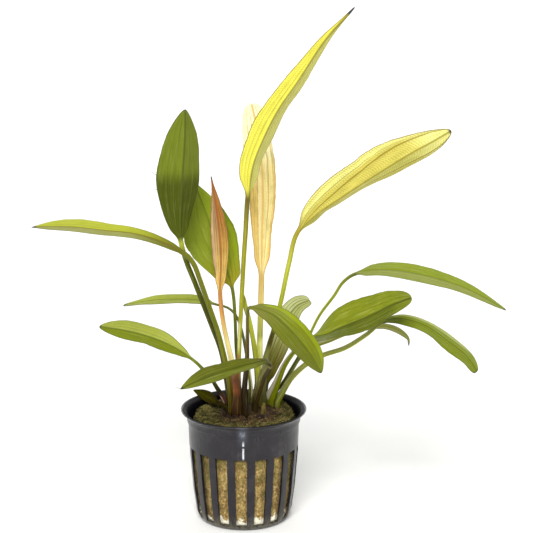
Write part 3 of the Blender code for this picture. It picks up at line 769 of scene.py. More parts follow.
def leaf_rings(distance, stalk_length, blade_length, seed, width, fold, tapers, tip_half=0.4,
               halves=(1.0, 1.0), stout=(1.0, 1.0), ragged=0.025, wave=(0.3, 22.0),
               veins=(VEIN_LANES, VEIN_LANES), curls=()):
    """Both skins' points across each ring, as (out, up) offsets in mm, with what the paint needs there.

    Width is the blade's largest, in mm, fold its angle, and tapers are where it is widest and how blunt its
    base and tip are. Tip_half is half the width that the tip keeps. Halves widen the blade's left and right
    half, and stout the stalk at its foot and top. Ragged is how uneven the margin is, and wave the height and
    length of its waves. Veins say how far out the side veins start and end. A curl is a side, where it starts
    and ends along the blade, how far out it starts, and its angle.
    """
    share = (distance - stalk_length) / blade_length
    on_blade = np.clip(share, 0, 1)
    opened = ease(on_blade * 4)
    lobe = width / 2 * blade_width(on_blade, *tapers)
    tip = tip_half * np.sqrt(np.clip(1 - on_blade ** 50, 0, 1))
    half = np.sqrt(lobe ** 2 + (STALK_WIDE[3] / 2 * (1 - on_blade)) ** 2 + tip ** 2)
    places = lane_places(on_blade, *veins)
    sides = []
    for side, wider, shift in (("right", halves[1], 40), ("left", halves[0], 0)):
        side_half = half * (1 + (wider - 1) * opened) * margin_wander(distance, seed + shift, ragged)
        sides.append((side_half, *half_section(side_half, on_blade, places, side, fold, curls)))
    (right_half, right_out, right_up), (left_half, left_out, left_up) = sides
    out = np.hstack([-right_out[:, ::-1], left_out[:, 1:]])
    up = np.hstack([right_up[:, ::-1], left_up[:, 1:]])
    off = np.hstack([places[:, ::-1], places[:, 1:]])
    lane = np.concatenate([-LANES[::-1], LANES[1:]])
    halfs = np.where(lane > 0, left_half[:, None], right_half[:, None])
    wave_high, wave_long = wave
    phase = distance[:, None] / wave_long * math.tau + np.where(lane > 0, 0.0, 2.1)
    up = up + wave_high * off ** 2.5 * np.sin(phase) * opened[:, None] * (halfs / 8)
    rib_wide = np.interp(on_blade, (0, 1), RIB_WIDE)[:, None]
    rib_high = np.interp(on_blade, (0, 1), RIB_HIGH)[:, None]
    rib = np.exp(-(off * halfs / rib_wide) ** 2)
    raised = sum(np.exp(-((np.abs(lane) - k) * halfs / 0.24) ** 2) for k in VEIN_LANES)
    between = np.sin(np.pi * np.clip(np.abs(lane) / VEIN_LANES[0], 0, 1)) ** 2
    thick = BLADE_THICK / 2 * np.sqrt(np.clip(1 - off ** 6, 0, 1)) * np.minimum(halfs / 2, 1)
    relief = np.minimum(halfs / 4, 1)
    upper = up + thick + relief * (0.14 * between - 0.2 * rib - 0.1 * raised)
    lower = up - thick + relief * (0.12 * between - 0.12 * raised) - rib * rib_high
    stalk_stout = np.interp(distance, (0.0, stalk_length), stout)
    wide = (np.interp(distance, SHEATH_PLACES, STALK_WIDE) * stalk_stout)[:, None]
    deep = (np.interp(distance, SHEATH_PLACES, STALK_DEEP) * np.minimum(stalk_stout, 1.15))[:, None]
    arch = np.sqrt(np.clip(1 - lane * lane, 0, 1))
    groove = 0.3 * np.exp(-(lane / 0.45) ** 2)
    ridges = 1 + 0.07 * np.cos(lane * 5 * math.pi)
    flat = ease(share / FLAT_AFTER)[:, None]
    outs = lane * wide / 2 * (1 - flat) + out * flat
    uppers = (arch * deep * 0.4 - groove) * (1 - flat) + upper * flat
    lowers = -arch * ridges * deep * 0.55 * (1 - flat) + lower * flat
    return lane, outs, uppers, lowers, off * halfs, (1 - off) * halfs


def leaf_frames(centre, distance, stalk_length, blade_length, faces, twist):
    """Which way each ring looks: to the leaf's left side, and out of its upper face."""
    forward = unit(np.gradient(centre, distance, axis=0))
    directions = np.asarray(faces, float)
    where = np.clip((distance - stalk_length) / blade_length, 0, 1) * (len(directions) - 1)
    up = np.column_stack([np.interp(where, range(len(directions)), directions[:, k]) for k in range(3)])
    first = int(np.searchsorted(distance, stalk_length))
    for i in [*range(first, len(distance)), *reversed(range(first))]:
        start = up[i] if i >= first else up[i + 1]
        up[i] = start - forward[i] * start.dot(forward[i])
        up[i] /= np.linalg.norm(up[i])
    turn = (math.radians(twist) * (1 - ease(distance / stalk_length)))[:, None]
    up = up * np.cos(turn) + np.cross(forward, up) * np.sin(turn)
    return np.cross(up, forward), up


def grow_leaf(name, stalk, blade, faces, skin, foot=None, twist=0.0, **form):
    """Lofts one leaf along its route, from a foot sunk in the crown to its tip.

    Stalk and blade are the route's points, and faces the directions that the blade's upper side looks in,
    from base to tip. Twist turns the stalk's foot. Skin goes to leaf_paint, and form to leaf_rings.
    """
    x, y, z = stalk[0]
    fine = smooth_route([foot or (x, y, z - FOOT_DEPTH), *stalk, *blade])
    run = np.concatenate([[0], np.cumsum(np.linalg.norm(np.diff(fine, axis=0), axis=1))])
    stalk_length = run[len(stalk) * ROUTE_STEPS]
    blade_length = run[-1] - stalk_length
    on_stalk = np.linspace(0, stalk_length, max(12, round(stalk_length / STALK_STEP)), endpoint=False)
    even = np.linspace(0, 1, round(blade_length / BLADE_STEP))
    on_blade = 0.3 * (1 - np.cos(math.pi * even)) / 2 + 0.7 * even
    distance = np.concatenate([on_stalk, stalk_length + blade_length * on_blade])
    distance[-1] -= 0.003 * blade_length
    centre = np.column_stack([np.interp(distance, run, fine[:, k]) for k in range(3)])
    side, up = leaf_frames(centre, distance, stalk_length, blade_length, faces, twist)
    seed = sum(name.encode()) * 0.37
    rings = leaf_rings(distance, stalk_length, blade_length, seed, **form)
    lane, outs, uppers, lowers, from_rib, from_edge = rings
    across = centre[:, None] + side[:, None] * outs[..., None]
    top = across + up[:, None] * uppers[..., None]
    bottom = across + up[:, None] * lowers[..., None]
    ring = np.concatenate([top[:, ::-1], bottom[:, 1:-1]], axis=1)
    count, around = ring.shape[:2]
    last = (count - 1) * around
    quads = ring_faces(count, around)
    quads += [(last + k, last + (k + 1) % around, count * around) for k in range(around)]
    quads.append(tuple(reversed(range(around))))

    def round_ring(rows):
        """Values across the leaf, laid round both skins, and a zero for the tip's last point."""
        return np.append(np.hstack([rows[:, ::-1], rows[:, 1:-1]]), 0.0)

    from_base = distance - stalk_length
    share = np.where(from_base < 0, distance / stalk_length - 1, from_base / blade_length)
    under = np.repeat((0.0, 1.0), (len(lane), len(lane) - 2))
    marks = {
        "along": np.append(np.repeat(share, around), 1.0),
        "lane": round_ring(np.tile(lane, (count, 1))),
        "from_rib": round_ring(from_rib),
        "from_edge": round_ring(from_edge),
        "under": np.append(np.tile(under, count), 0.0),
        "reach": np.append(np.repeat(from_base, around), blade_length),
    }
    points = np.vstack([ring.reshape(-1, 3), fine[-1:]])
    add_piece(name + "_blade", points, quads, leaf_paint(name, **skin), name, marks)


def leaf_paint(name, left, right, rib, vein, margin, tip, stalk, tip_from=0.97, base=None, end=None,
               strips=(), bands=(), hatch=0.12, hatch_gap=1.1, vein_strength=0.5, margin_to=1.2,
               mottle=0.3, rough=0.5, gloss=0.15, pale=0.1):
    """A leaf's skin. Colours are screen colours, and places along the stalk or the blade go from 0 to 1.

    Left and right are the blade's halves as its upper side shows them, tip up. Stalk gives places and colours
    from foot to blade. Base and end are a colour and the stretch over which it fades. Strips on the blade and
    bands on the stalk are a side, a colour, how far out they start, and where they begin and end. Hatch is
    the strength of the fine cross veins, hatch_gap how far apart they are in mm, and pale the strength of the
    stalk's bleached upper side. The margin's colour ends at margin_to, and the tip's begins at tip_from.
    """
    paint = Paint(name + "_skin", specular_ior_level=gloss)
    along, lane, reach = paint.mark("along"), paint.mark("lane"), paint.mark("reach")
    from_rib, from_edge, below = paint.mark("from_rib"), paint.mark("from_edge"), paint.mark("under")
    place = paint.place()
    on_blade = paint.step(along, 0.0, 0.06)
    off = abs(lane)
    cloud = paint.cloud(place, 160.0, 4.0, 0.6)
    sheet = paint.node("CombineXYZ", {}, {0: reach * 0.09, 1: lane * 13.0, 2: below * 7.0})
    grain = paint.cloud(sheet, 1.0, 3.0, 0.6)
    speck = paint.cloud(place, 1500.0, 2.0, 0.6)
    # The halves' colours differ partly as painted shade: the half turned from the light is darker.
    tone = paint.mix(paint.step(lane, -0.05, 0.05), rgb(*right), rgb(*left))
    if base:
        colour, low, high = base
        tone = paint.mix(paint.step(along, high, low), tone, rgb(*colour))
    for side, colour, start, low, high in strips:
        strip = paint.step(lane * side + (cloud - 0.5) * 0.12, start, start + 0.1)
        strip = strip * paint.band(along, low - 0.04, low + 0.04, high, high + 0.12)
        tone = paint.mix(strip * 0.9, tone, rgb(*colour))
    if end:
        colour, low, high = end
        tone = paint.mix(paint.step(along + (cloud - 0.5) * 0.2, low, high), tone, rgb(*colour))
    dark = paint.mix(1.0, tone, (0.5, 0.54, 0.42), "MULTIPLY")
    light = paint.mix(0.2, tone, rgb(255, 250, 170))
    tone = paint.mix(paint.step(cloud * 0.5 + grain * 0.7, 0.55, 0.78) * mottle, tone, dark)
    tone = paint.mix(paint.step(grain, 0.48, 0.3) * mottle, tone, light)
    tone = paint.mix(paint.step(speck, 0.58, 0.72) * mottle * 0.6, tone, dark)
    wander = paint.cloud(sheet, 0.8, 2.0, 0.6)
    rungs = paint.node("Math", {"operation": "FRACT"}, {0: reach / hatch_gap + from_rib * 0.5 + wander * 2.6})
    rungs = paint.step(abs(rungs - 0.5), 0.22, 0.03) * paint.step(wander, 0.36, 0.46)
    tone = paint.mix(rungs * hatch * paint.step(from_rib, 0.3, 0.7), tone, dark)
    lines = 0.0
    for at, faint, full, strength in VEINS:
        lines = lines + paint.step(abs(off - at), faint, full) * strength
    tone = paint.mix(lines * vein_strength * paint.step(wander, 0.3, 0.42), tone, rgb(*vein))
    tone = paint.mix(paint.step(from_rib, 0.62, 0.22) * 0.8, tone, rgb(*rib))
    edge = paint.step(from_edge + (cloud - 0.5) * 0.5, MARGIN_WIDE, MARGIN_WIDE * 0.35)
    edge = edge * paint.step(along, margin_to, margin_to - 0.12)
    tone = paint.mix(edge * 0.9, tone, rgb(*margin))
    ended = paint.step(along + (cloud - 0.5) * 0.02 + off * 0.01, tip_from, tip_from + 0.015)
    tone = paint.mix(ended, tone, rgb(*tip))
    # The stalk's colours run from foot to blade; their darker feet are partly painted shade among the crowded
    # stalks.
    down = paint.ramp(along + 1.0, stalk)
    down = paint.mix((1.0 - below) * pale, down, rgb(226, 220, 196))
    for side, colour, start, low, high in bands:
        band = paint.step(lane * side + (cloud - 0.5) * 0.3, start, start + 0.16)
        band = band * paint.band(along + 1.0, low - 0.02, low + 0.02, high, high + 0.04)
        down = paint.mix(band * 0.85, down, rgb(*colour))
    stalk_sheet = paint.node("CombineXYZ", {}, {0: reach * 0.05, 1: lane * 5.0, 2: below * 3.0})
    furrow = paint.cloud(stalk_sheet, 1.0, 3.0, 0.65)
    shade = paint.mix(1.0, down, (0.4, 0.36, 0.3), "MULTIPLY")
    down = paint.mix(paint.step(furrow, 0.46, 0.62) * 0.6, down, shade)
    down = paint.mix(paint.step(furrow, 0.42, 0.3) * 0.22, down, rgb(220, 225, 110))
    down = paint.mix(paint.step(off, 0.84, 0.97) * 0.45, down, shade)
    paint.wear("Base Color", paint.mix(on_blade, down, tone))
    paint.wear("Roughness", rough + (cloud - 0.5) * 0.25 - 0.14 * (1.0 - on_blade))
    cells = paint.cloud(place, 2400.0, 2.0)
    paint.bump(cells * 0.35 - rungs * hatch * on_blade + grain * 0.6, 0.00012)
    return paint


# The tall yellow leaf in the middle. It leans forward and to the right and shows its underside.
grow_leaf(
    "tall_yellow_leaf", width=13.5, fold=18, tapers=(0.33, 1.0, 1.3), tip_half=0.6, halves=(1.06, 1.0),
    stout=(0.85, 1.06), faces=[(-0.6, 0.78, 0.2), (-0.5, 0.77, 0.4), (-0.1, 0.99, 0.1)],
    stalk=[(-1.4, -1.6, FOOT), (-2.3, -1.8, 61.7), (-1.9, -2.3, 76.8), (-1, -3.5, 95), (0.2, -6, 116.7),
        (1.1, -8, 130.2), (2, -10, 144.5)],
    blade=[(4, -12.5, 159), (8, -14, 170), (14.5, -15.5, 183), (23, -17, 195.5), (33.5, -19, 211.5),
        (45.5, -20, 225)],
    skin=dict(left=(212, 208, 116), right=(240, 232, 88), rib=(128, 122, 36), vein=(168, 156, 50),
        margin=(122, 98, 50), tip=(70, 72, 74), tip_from=0.955,
        stalk=[(0.0, 64, 44, 24), (0.1, 112, 78, 44), (0.22, 160, 140, 68), (0.3, 172, 174, 52),
        (0.75, 164, 162, 40), (1.0, 112, 100, 34)],
        bands=[(-1, (212, 212, 140), 0.35, 0.3, 0.41), (-1, (150, 96, 52), 0.1, 0.1, 0.26)], hatch=0.5,
        mottle=0.4))

# The dying leaf behind it, bleached in the middle and tan at its curled edges.
# Its stalk has a painted shadow part way up, from the front right leaf, and a painted highlight along one
# side.
grow_leaf(
    "orange_leaf", width=15.8, fold=20, tapers=(0.66, 0.36, 0.35), stout=(1.2, 1.2), ragged=0.06,
    curls=[("right", 0.1, 0.8, 0.62, 62), ("left", 0.05, 0.6, 0.7, 40)],
    faces=[(0.15, -0.98, 0.1), (-0.05, -1.0, 0.03)],
    stalk=[(5.5, 4.5, FOOT), (6.6, 5.6, 58.5), (6.9, 7, 70.9), (7.5, 9.3, 94.9), (7.8, 9.8, 106)],
    blade=[(8, 12, 124.5), (8.5, 13, 140), (8, 14, 155), (6, 14.5, 170.5), (3.5, 15, 182)],
    skin=dict(left=(248, 230, 166), right=(242, 226, 156), rib=(214, 176, 98), vein=(176, 132, 66),
        margin=(178, 124, 62), tip=(252, 246, 214), tip_from=0.985,
        stalk=[(0.0, 84, 66, 34), (0.16, 136, 128, 50), (0.26, 176, 172, 70), (0.36, 238, 242, 120),
        (0.5, 232, 236, 116), (0.56, 166, 170, 58), (0.7, 172, 170, 60), (0.8, 214, 190, 98),
        (1.0, 208, 172, 88)], end=((253, 250, 208), 0.6, 0.84),
        strips=[(1, (224, 192, 106), 0.3, 0.0, 0.5), (-1, (230, 192, 104), 0.62, 0.0, 0.78)],
        bands=[(-1, (246, 242, 200), 0.4, 0.3, 0.52)], hatch=0.22, vein_strength=0.7, margin_to=0.8,
        mottle=0.65))

# The long yellow leaf on the right, also seen from below, with a second vein nearly as strong as its midrib.
# Its stalk carries a painted shadow part way up, a dark band where the front right leaf's blade shades it.
grow_leaf(
    "right_yellow_leaf", width=20, fold=35, tapers=(0.5, 0.6, 0.6), tip_half=0.8, wave=(0.4, 27.0),
    veins=((0.12, 0.5, 0.85), (0.9, 0.94, 0.97)),
    faces=[(-0.42, 0.8, 0.42), (-0.19, 0.85, 0.49), (0.25, 0.96, -0.05)],
    stalk=[(8.4, 2.6, FOOT), (8.2, 2.8, 57), (9.9, 2, 72.4), (12.6, 0.4, 83.5), (16.2, -2.5, 98.8),
        (19.7, -6, 117), (23, -8, 130)],
    blade=[(31.5, -10, 139), (41, -12, 146), (54, -14, 155), (69, -17, 165), (78.5, -18.5, 170.5),
        (85.5, -20, 175)],
    skin=dict(left=(212, 204, 96), right=(206, 193, 88), rib=(146, 134, 38), vein=(148, 130, 40),
        margin=(128, 104, 60), tip=(84, 78, 44), tip_from=0.98,
        stalk=[(0.0, 70, 62, 24), (0.22, 142, 146, 76), (0.33, 134, 136, 64), (0.37, 90, 82, 16),
        (0.43, 84, 78, 14), (0.47, 120, 135, 46), (0.58, 182, 192, 46), (0.8, 190, 195, 68),
        (1.0, 166, 156, 44)], end=((236, 230, 136), 0.7, 0.9),
        strips=[(-1, (236, 230, 134), 0.5, 0.08, 1.0)], hatch=0.62, hatch_gap=1.2, vein_strength=1.0,
        mottle=0.35))

# The dark green leaf that stands up on the left, seen from below.
# Its lower blade is darker below a sharp edge: a painted cast shadow.
grow_leaf(
    "left_upright_leaf", width=21.4, fold=20, tapers=(0.53, 0.76, 0.68), stout=(1.05, 1.05), ragged=0.012,
    faces=[(-0.4, 0.91, 0.02), (-0.6, 0.8, 0.1)],
    stalk=[(-5.4, 0.6, FOOT), (-7.3, 0.4, 62.9), (-9.5, -1, 75.5), (-13.4, -3, 87.3), (-20.5, -7, 108),
        (-24, -8, 117.5), (-26, -9, 125.5)],
    blade=[(-26.5, -9.5, 132), (-26, -10.5, 144.5), (-25, -11.5, 157.5), (-24, -12.5, 170),
        (-23.5, -14, 183)],
    skin=dict(left=(110, 122, 28), right=(108, 121, 26), rib=(76, 86, 16), vein=(84, 96, 16),
        margin=(74, 80, 20), tip=(72, 72, 44), tip_from=0.985,
        stalk=[(0.0, 52, 44, 10), (0.25, 66, 62, 8), (0.5, 78, 82, 8), (0.9, 88, 96, 12),
        (1.0, 170, 180, 60)], base=((70, 79, 0), 0.43, 0.57), hatch=0.1, vein_strength=0.35, mottle=0.25,
        pale=0.0))

# The broad green leaf behind it, whose right edge curls forward.
grow_leaf(
    "broad_leaf", width=26, fold=20, tapers=(0.52, 0.65, 1.5), stout=(0.62, 0.72),
    curls=[("right", 0.1, 0.75, 0.84, 60)], faces=[(-0.1, -0.99, 0.08), (-0.35, -0.93, -0.05)],
    stalk=[(-2.5, 3.2, FOOT), (-2.1, 3.5, 61.5), (-3.3, 4.5, 77.1), (-3.8, 6, 90.7), (-4.9, 8, 101.5)],
    blade=[(-8.5, 9, 113.5), (-13, 10, 125), (-17, 11, 137), (-22, 12, 150)],
    skin=dict(left=(126, 140, 30), right=(138, 154, 24), rib=(104, 118, 28), vein=(108, 124, 26),
        margin=(112, 122, 34), tip=(80, 74, 36),
        stalk=[(0.0, 58, 42, 20), (0.28, 68, 64, 22), (0.5, 72, 82, 20), (1.0, 108, 116, 30)],
        base=((160, 152, 32), 0.0, 0.35), strips=[(-1, (190, 200, 60), 0.9, 0.1, 0.8)], pale=0.0))

# The withered leaf in front of it, narrow, folded on itself and orange brown, with a black tip.
# Its stalk darkens part way up with a painted shadow under the low front leaf's blade.
grow_leaf(
    "withered_leaf", width=9.4, fold=34, tapers=(0.44, 1.1, 1.4), stout=(1.1, 0.9), ragged=0.09,
    wave=(0.8, 15.0), curls=[("left", 0.1, 0.7, 0.7, 50), ("right", 0.2, 0.9, 0.75, -60)],
    faces=[(0.0, 0.99, -0.1), (0.2, 0.97, -0.05)],
    stalk=[(-3, -6, FOOT), (-2.7, -6.2, 57), (-4.9, -6.4, 72.2), (-8.5, -5, 89.5), (-9.9, -3.4, 102)],
    blade=[(-9.5, -2.5, 114.5), (-10, -2, 127.5), (-11.5, -2, 140.5), (-13.5, -1, 153)],
    skin=dict(left=(172, 116, 50), right=(170, 134, 88), rib=(150, 84, 40), vein=(112, 58, 34),
        margin=(134, 84, 52), tip=(40, 24, 26), tip_from=0.965,
        stalk=[(0.0, 60, 38, 20), (0.16, 104, 68, 38), (0.22, 172, 104, 60), (0.3, 120, 72, 48),
        (0.38, 150, 110, 70), (0.44, 222, 208, 136), (0.62, 226, 212, 138), (0.85, 210, 154, 80),
        (1.0, 196, 136, 70)], base=((238, 200, 108), 0.0, 0.7),
        strips=[(-1, (200, 164, 128), 0.6, 0.15, 0.75)], hatch=0.3, vein_strength=0.8, mottle=0.6, pale=0.0))

# A stalk among them whose blade has gone; it bends behind the tall leaf's stalk.
grow_leaf(
    "bare_stalk", width=1.6, fold=0, tapers=(0.4, 1.0, 1.0), stout=(0.95, 0.95),
    faces=[(0, -1, 0.2), (0, -1, 0.2)],
    stalk=[(5.8, 0.2, FOOT), (6.2, 0.5, 61), (5, 0.4, 75.1), (2.8, -0.3, 88.4), (0.5, -1.2, 97.5)],
    blade=[(-0.4, -1.4, 100.7), (-1, -1.5, 104)],
    skin=dict(left=(150, 150, 50), right=(150, 150, 50), rib=(140, 136, 44), vein=(140, 140, 46),
        margin=(150, 152, 52), tip=(150, 156, 54),
        stalk=[(0.0, 96, 84, 34), (0.3, 160, 164, 50), (0.8, 170, 180, 46), (1.0, 160, 164, 50)],
        bands=[(1, (80, 84, 20), 0.62, 0.1, 0.95)], pale=0.0))

# Two leaves that reach out to the left, and one low one.
grow_leaf(
    "left_long_leaf", width=13.5, fold=8, tapers=(0.71, 0.33, 1.0), stout=(1.1, 1.1), wave=(0.15, 30.0),
    faces=[(0.5, -0.7, 0.48), (0.17, -0.25, 0.95), (0.05, -0.14, 0.99)],
    stalk=[(-4.8, -3, FOOT), (-5.7, -3.8, 61.4), (-7.7, -5, 72.2), (-10.6, -7.2, 85.8), (-14.5, -10.5, 99),
        (-18, -12.8, 110.5), (-20.5, -13.5, 117.5), (-24, -14.5, 122)],
    blade=[(-32.5, -16, 127), (-44.5, -18.5, 131.5), (-57, -21, 133.5), (-71, -23.5, 135.5),
        (-86.5, -26, 136)],
    skin=dict(left=(148, 150, 76), right=(176, 182, 50), rib=(112, 98, 36), vein=(128, 134, 42),
        margin=(104, 104, 42), tip=(50, 50, 46),
        stalk=[(0.0, 104, 86, 20), (0.16, 124, 112, 22), (0.4, 120, 126, 26), (1.0, 112, 116, 28)],
        base=((92, 96, 8), 0.0, 0.45), mottle=0.25, pale=0.0))
grow_leaf(
    "left_narrow_leaf", width=9.8, fold=5, tapers=(0.54, 0.58, 0.4), stout=(0.6, 0.6),
    faces=[(0.0, -0.35, 0.93), (-0.25, -0.05, 0.97)],
    stalk=[(2.8, 7, FOOT), (3, 7.5, 57.9), (0.9, 10.5, 72.7), (-2.2, 16.5, 84.5), (-6.5, 22.5, 88.9),
        (-12.5, 24, 90.5)],
    blade=[(-20, 27, 91.5), (-29, 31, 91), (-41, 35, 89.5), (-55.5, 40, 86)],
    skin=dict(left=(160, 170, 66), right=(168, 178, 56), rib=(112, 122, 36), vein=(120, 132, 40),
        margin=(84, 80, 42), tip=(52, 48, 42),
        stalk=[(0.0, 60, 54, 22), (0.12, 110, 112, 34), (0.3, 128, 134, 40), (0.45, 72, 78, 20),
        (1.0, 112, 124, 34)], bands=[(-1, (236, 230, 196), 0.1, 0.08, 0.3)], pale=0.05))
grow_leaf(
    "left_low_leaf", width=12.4, fold=8, tapers=(0.59, 0.76, 0.6), stout=(0.6, 0.6),
    faces=[(0.06, -0.9, 0.4), (0.2, -0.46, 0.86), (0.07, -0.56, 0.82)],
    stalk=[(-7.8, 3.2, FOOT), (-11.3, 3.5, 57.1), (-14.2, 4, 61.8), (-18.4, 4.8, 66.6), (-22.5, 6, 70.1)],
    blade=[(-30, 7, 75), (-39, 8, 79), (-50, 9, 82), (-63.5, 10, 84)],
    skin=dict(left=(114, 126, 10), right=(156, 164, 64), rib=(92, 104, 20), vein=(112, 124, 34),
        margin=(82, 90, 38), tip=(58, 56, 40), tip_from=0.98,
        stalk=[(0.0, 110, 72, 60), (0.2, 92, 58, 46), (0.32, 34, 32, 12), (0.48, 60, 60, 14),
        (0.75, 84, 94, 20), (1.0, 116, 126, 28)], bands=[(1, (204, 160, 150), 0.5, 0.02, 0.24)], pale=0.0))

# The small dark leaf that lies over the rim at the left, in the others' shade.
grow_leaf(
    "rim_leaf", width=5, fold=6, tapers=(0.42, 0.5, 0.8), stout=(0.42, 0.62), foot=(-6.6, -3.4, 50.2),
    faces=[(-0.3, -0.62, 0.7), (-0.25, -0.5, 0.8)],
    stalk=[(-9, -0.8, 51.2), (-11.9, 3.1, 51.1)],
    blade=[(-14.6, 7.9, 51.4), (-17.4, 13.2, 51.5), (-20, 18, 51.3), (-23, 22.5, 51)],
    skin=dict(left=(50, 48, 3), right=(44, 42, 2), rib=(60, 60, 6), vein=(38, 38, 3), margin=(34, 30, 8),
        tip=(34, 28, 10), stalk=[(0.0, 50, 42, 16), (1.0, 46, 38, 12)], base=((46, 36, 12), 0.0, 0.5),
        mottle=0.2, gloss=0.0, pale=0.0))

# Two leaves that come forward: a low one, bent over to the left, and one that arches over to the right.
# The low one's stalk turns dark at its top, painted shade under the fold of its blade.
grow_leaf(
    "front_low_leaf", width=13.4, fold=9, tapers=(0.54, 0.75, 0.8), stout=(0.75, 2.1),
    faces=[(0.7, 0.15, 0.7), (-0.12, -0.21, 0.97), (-0.11, -0.41, 0.91)],
    stalk=[(5, -4.5, FOOT), (5.7, -7, 56.5), (8.4, -13.5, 68.5), (10.8, -17.6, 76)],
    blade=[(4, -22, 76.4), (-4.5, -27, 75.4), (-14.5, -32, 73.5), (-25.5, -37, 70)],
    skin=dict(left=(102, 110, 12), right=(90, 96, 10), rib=(64, 72, 12), vein=(122, 132, 34),
        margin=(78, 84, 20), tip=(60, 60, 26),
        stalk=[(0.0, 52, 38, 18), (0.25, 76, 66, 30), (0.45, 108, 100, 50), (0.7, 130, 128, 72),
        (0.93, 140, 138, 82), (1.0, 66, 52, 26)], base=((76, 74, 12), 0.0, 0.25),
        end=((124, 132, 20), 0.72, 1.1),
        bands=[(1, (58, 44, 20), 0.3, 0.0, 0.9), (-1, (178, 172, 124), 0.55, 0.3, 0.62)], mottle=0.45))
grow_leaf(
    "front_right_leaf", width=17, fold=1, tapers=(0.7, 0.4, 0.62), stout=(1.4, 0.78),
    faces=[(-0.58, -0.72, 0.38), (0.34, -0.59, 0.73), (0.75, -0.3, 0.59)],
    stalk=[(0.3, -7.7, FOOT), (0.2, -8, 59.6), (1.4, -10.5, 73.8), (1.8, -15, 89.2), (1.9, -17.5, 96.5),
        (3, -20.6, 100.5)],
    blade=[(12.5, -26, 99), (19, -30, 94.5), (24, -33, 89.5), (28.5, -36, 84), (32.5, -39, 77.5)],
    skin=dict(left=(118, 127, 20), right=(104, 111, 22), rib=(92, 100, 18), vein=(98, 108, 20),
        margin=(90, 88, 24), tip=(64, 52, 26), tip_from=0.982,
        stalk=[(0.0, 50, 36, 14), (0.26, 62, 48, 22), (0.42, 76, 66, 28), (0.62, 94, 74, 24),
        (0.72, 102, 90, 36), (0.88, 110, 106, 50), (1.0, 116, 118, 48)], base=((118, 120, 52), 0.0, 0.5),
        strips=[(1, (140, 154, 22), 0.6, 0.15, 0.85)], vein_strength=0.35, pale=0.0))

# The short leaf behind that one, whose end has turned pale grey-green.
# Its lower blade is darkened with painted shade from the front right leaf's blade.
grow_leaf(
    "pale_leaf", width=10.4, fold=18, tapers=(0.56, 0.4, 0.27), tip_half=1.1,
    faces=[(0.35, -0.88, 0.3), (-0.15, -0.7, 0.7)],
    stalk=[(8.4, 8.2, FOOT), (9.2, 9, 57)],
    blade=[(11.3, 11, 65.6), (15, 16, 74), (17.8, 20, 79.7), (20.5, 24, 85.6), (24.1, 27, 89.2),
        (29.6, 29.5, 90.9)],
    skin=dict(left=(184, 190, 130), right=(172, 178, 108), rib=(118, 122, 56), vein=(62, 60, 20),
        margin=(84, 88, 44), tip=(110, 118, 64), tip_from=0.99, stalk=[(0.0, 64, 56, 22), (1.0, 80, 74, 26)],
        base=((110, 102, 16), 0.2, 0.72), vein_strength=0.9, mottle=0.7))

# Four leaves that fan out to the right: a long arching one, a broad one, a low arching one and a small one.
# The low arching one's stalk has a painted highlight, a near-white band near its foot.
grow_leaf(
    "right_arched_leaf", width=13.1, fold=3, tapers=(0.3, 0.5, 0.6), stout=(0.7, 0.9), wave=(0.15, 30.0),
    faces=[(-0.39, -0.07, 0.92), (0.16, -0.39, 0.91), (0.4, -0.35, 0.85)],
    stalk=[(11.8, 8.2, FOOT), (16.4, 6.6, 58.4), (19.8, 5, 64.6), (26.3, 1, 77.6), (32.4, -1.8, 91.8),
        (39, -4.5, 102), (42.2, -5.5, 107.5), (47, -6.5, 111.5)],
    blade=[(56, -9, 114), (66.5, -11, 114), (79, -13, 112), (93.5, -15, 107.5), (111, -17, 98.5)],
    skin=dict(left=(130, 144, 32), right=(134, 142, 64), rib=(108, 120, 36), vein=(160, 168, 90),
        margin=(106, 114, 38), tip=(52, 50, 42), tip_from=0.983,
        stalk=[(0.0, 70, 64, 20), (0.15, 84, 84, 20), (0.4, 108, 116, 22), (0.6, 158, 170, 44),
        (0.85, 150, 160, 48), (1.0, 104, 112, 30)], base=((120, 132, 28), 0.0, 0.3), pale=0.0))
grow_leaf(
    "right_broad_leaf", width=18.7, fold=19, tapers=(0.37, 0.6, 0.41), halves=(1.0, 0.86), stout=(1.4, 1.4),
    twist=75, wave=(0.12, 30.0), faces=[(-0.62, 0.0, 0.79), (-0.47, -0.66, 0.58), (-0.46, -0.78, 0.41)],
    stalk=[(11, 4.8, FOOT), (13.5, 3.4, 57.8), (18.2, -0.5, 70.4), (24.4, -7, 80.4), (28.6, -10.2, 84.2)],
    blade=[(36, -13, 87), (42, -15, 90.5), (49, -17, 94), (56.5, -19, 98), (62, -21, 101.5),
        (70.5, -24, 105.5)],
    skin=dict(left=(124, 134, 26), right=(92, 102, 20), rib=(74, 82, 22), vein=(108, 118, 30),
        margin=(92, 100, 26), tip=(106, 116, 30), tip_from=0.985,
        stalk=[(0.0, 96, 88, 30), (0.14, 134, 142, 16), (0.7, 146, 156, 28), (1.0, 148, 156, 64)],
        end=((116, 126, 26), 0.75, 0.95), bands=[(1, (222, 212, 196), -0.1, 0.1, 0.8)], mottle=0.6,
        rough=0.4, pale=0.0))
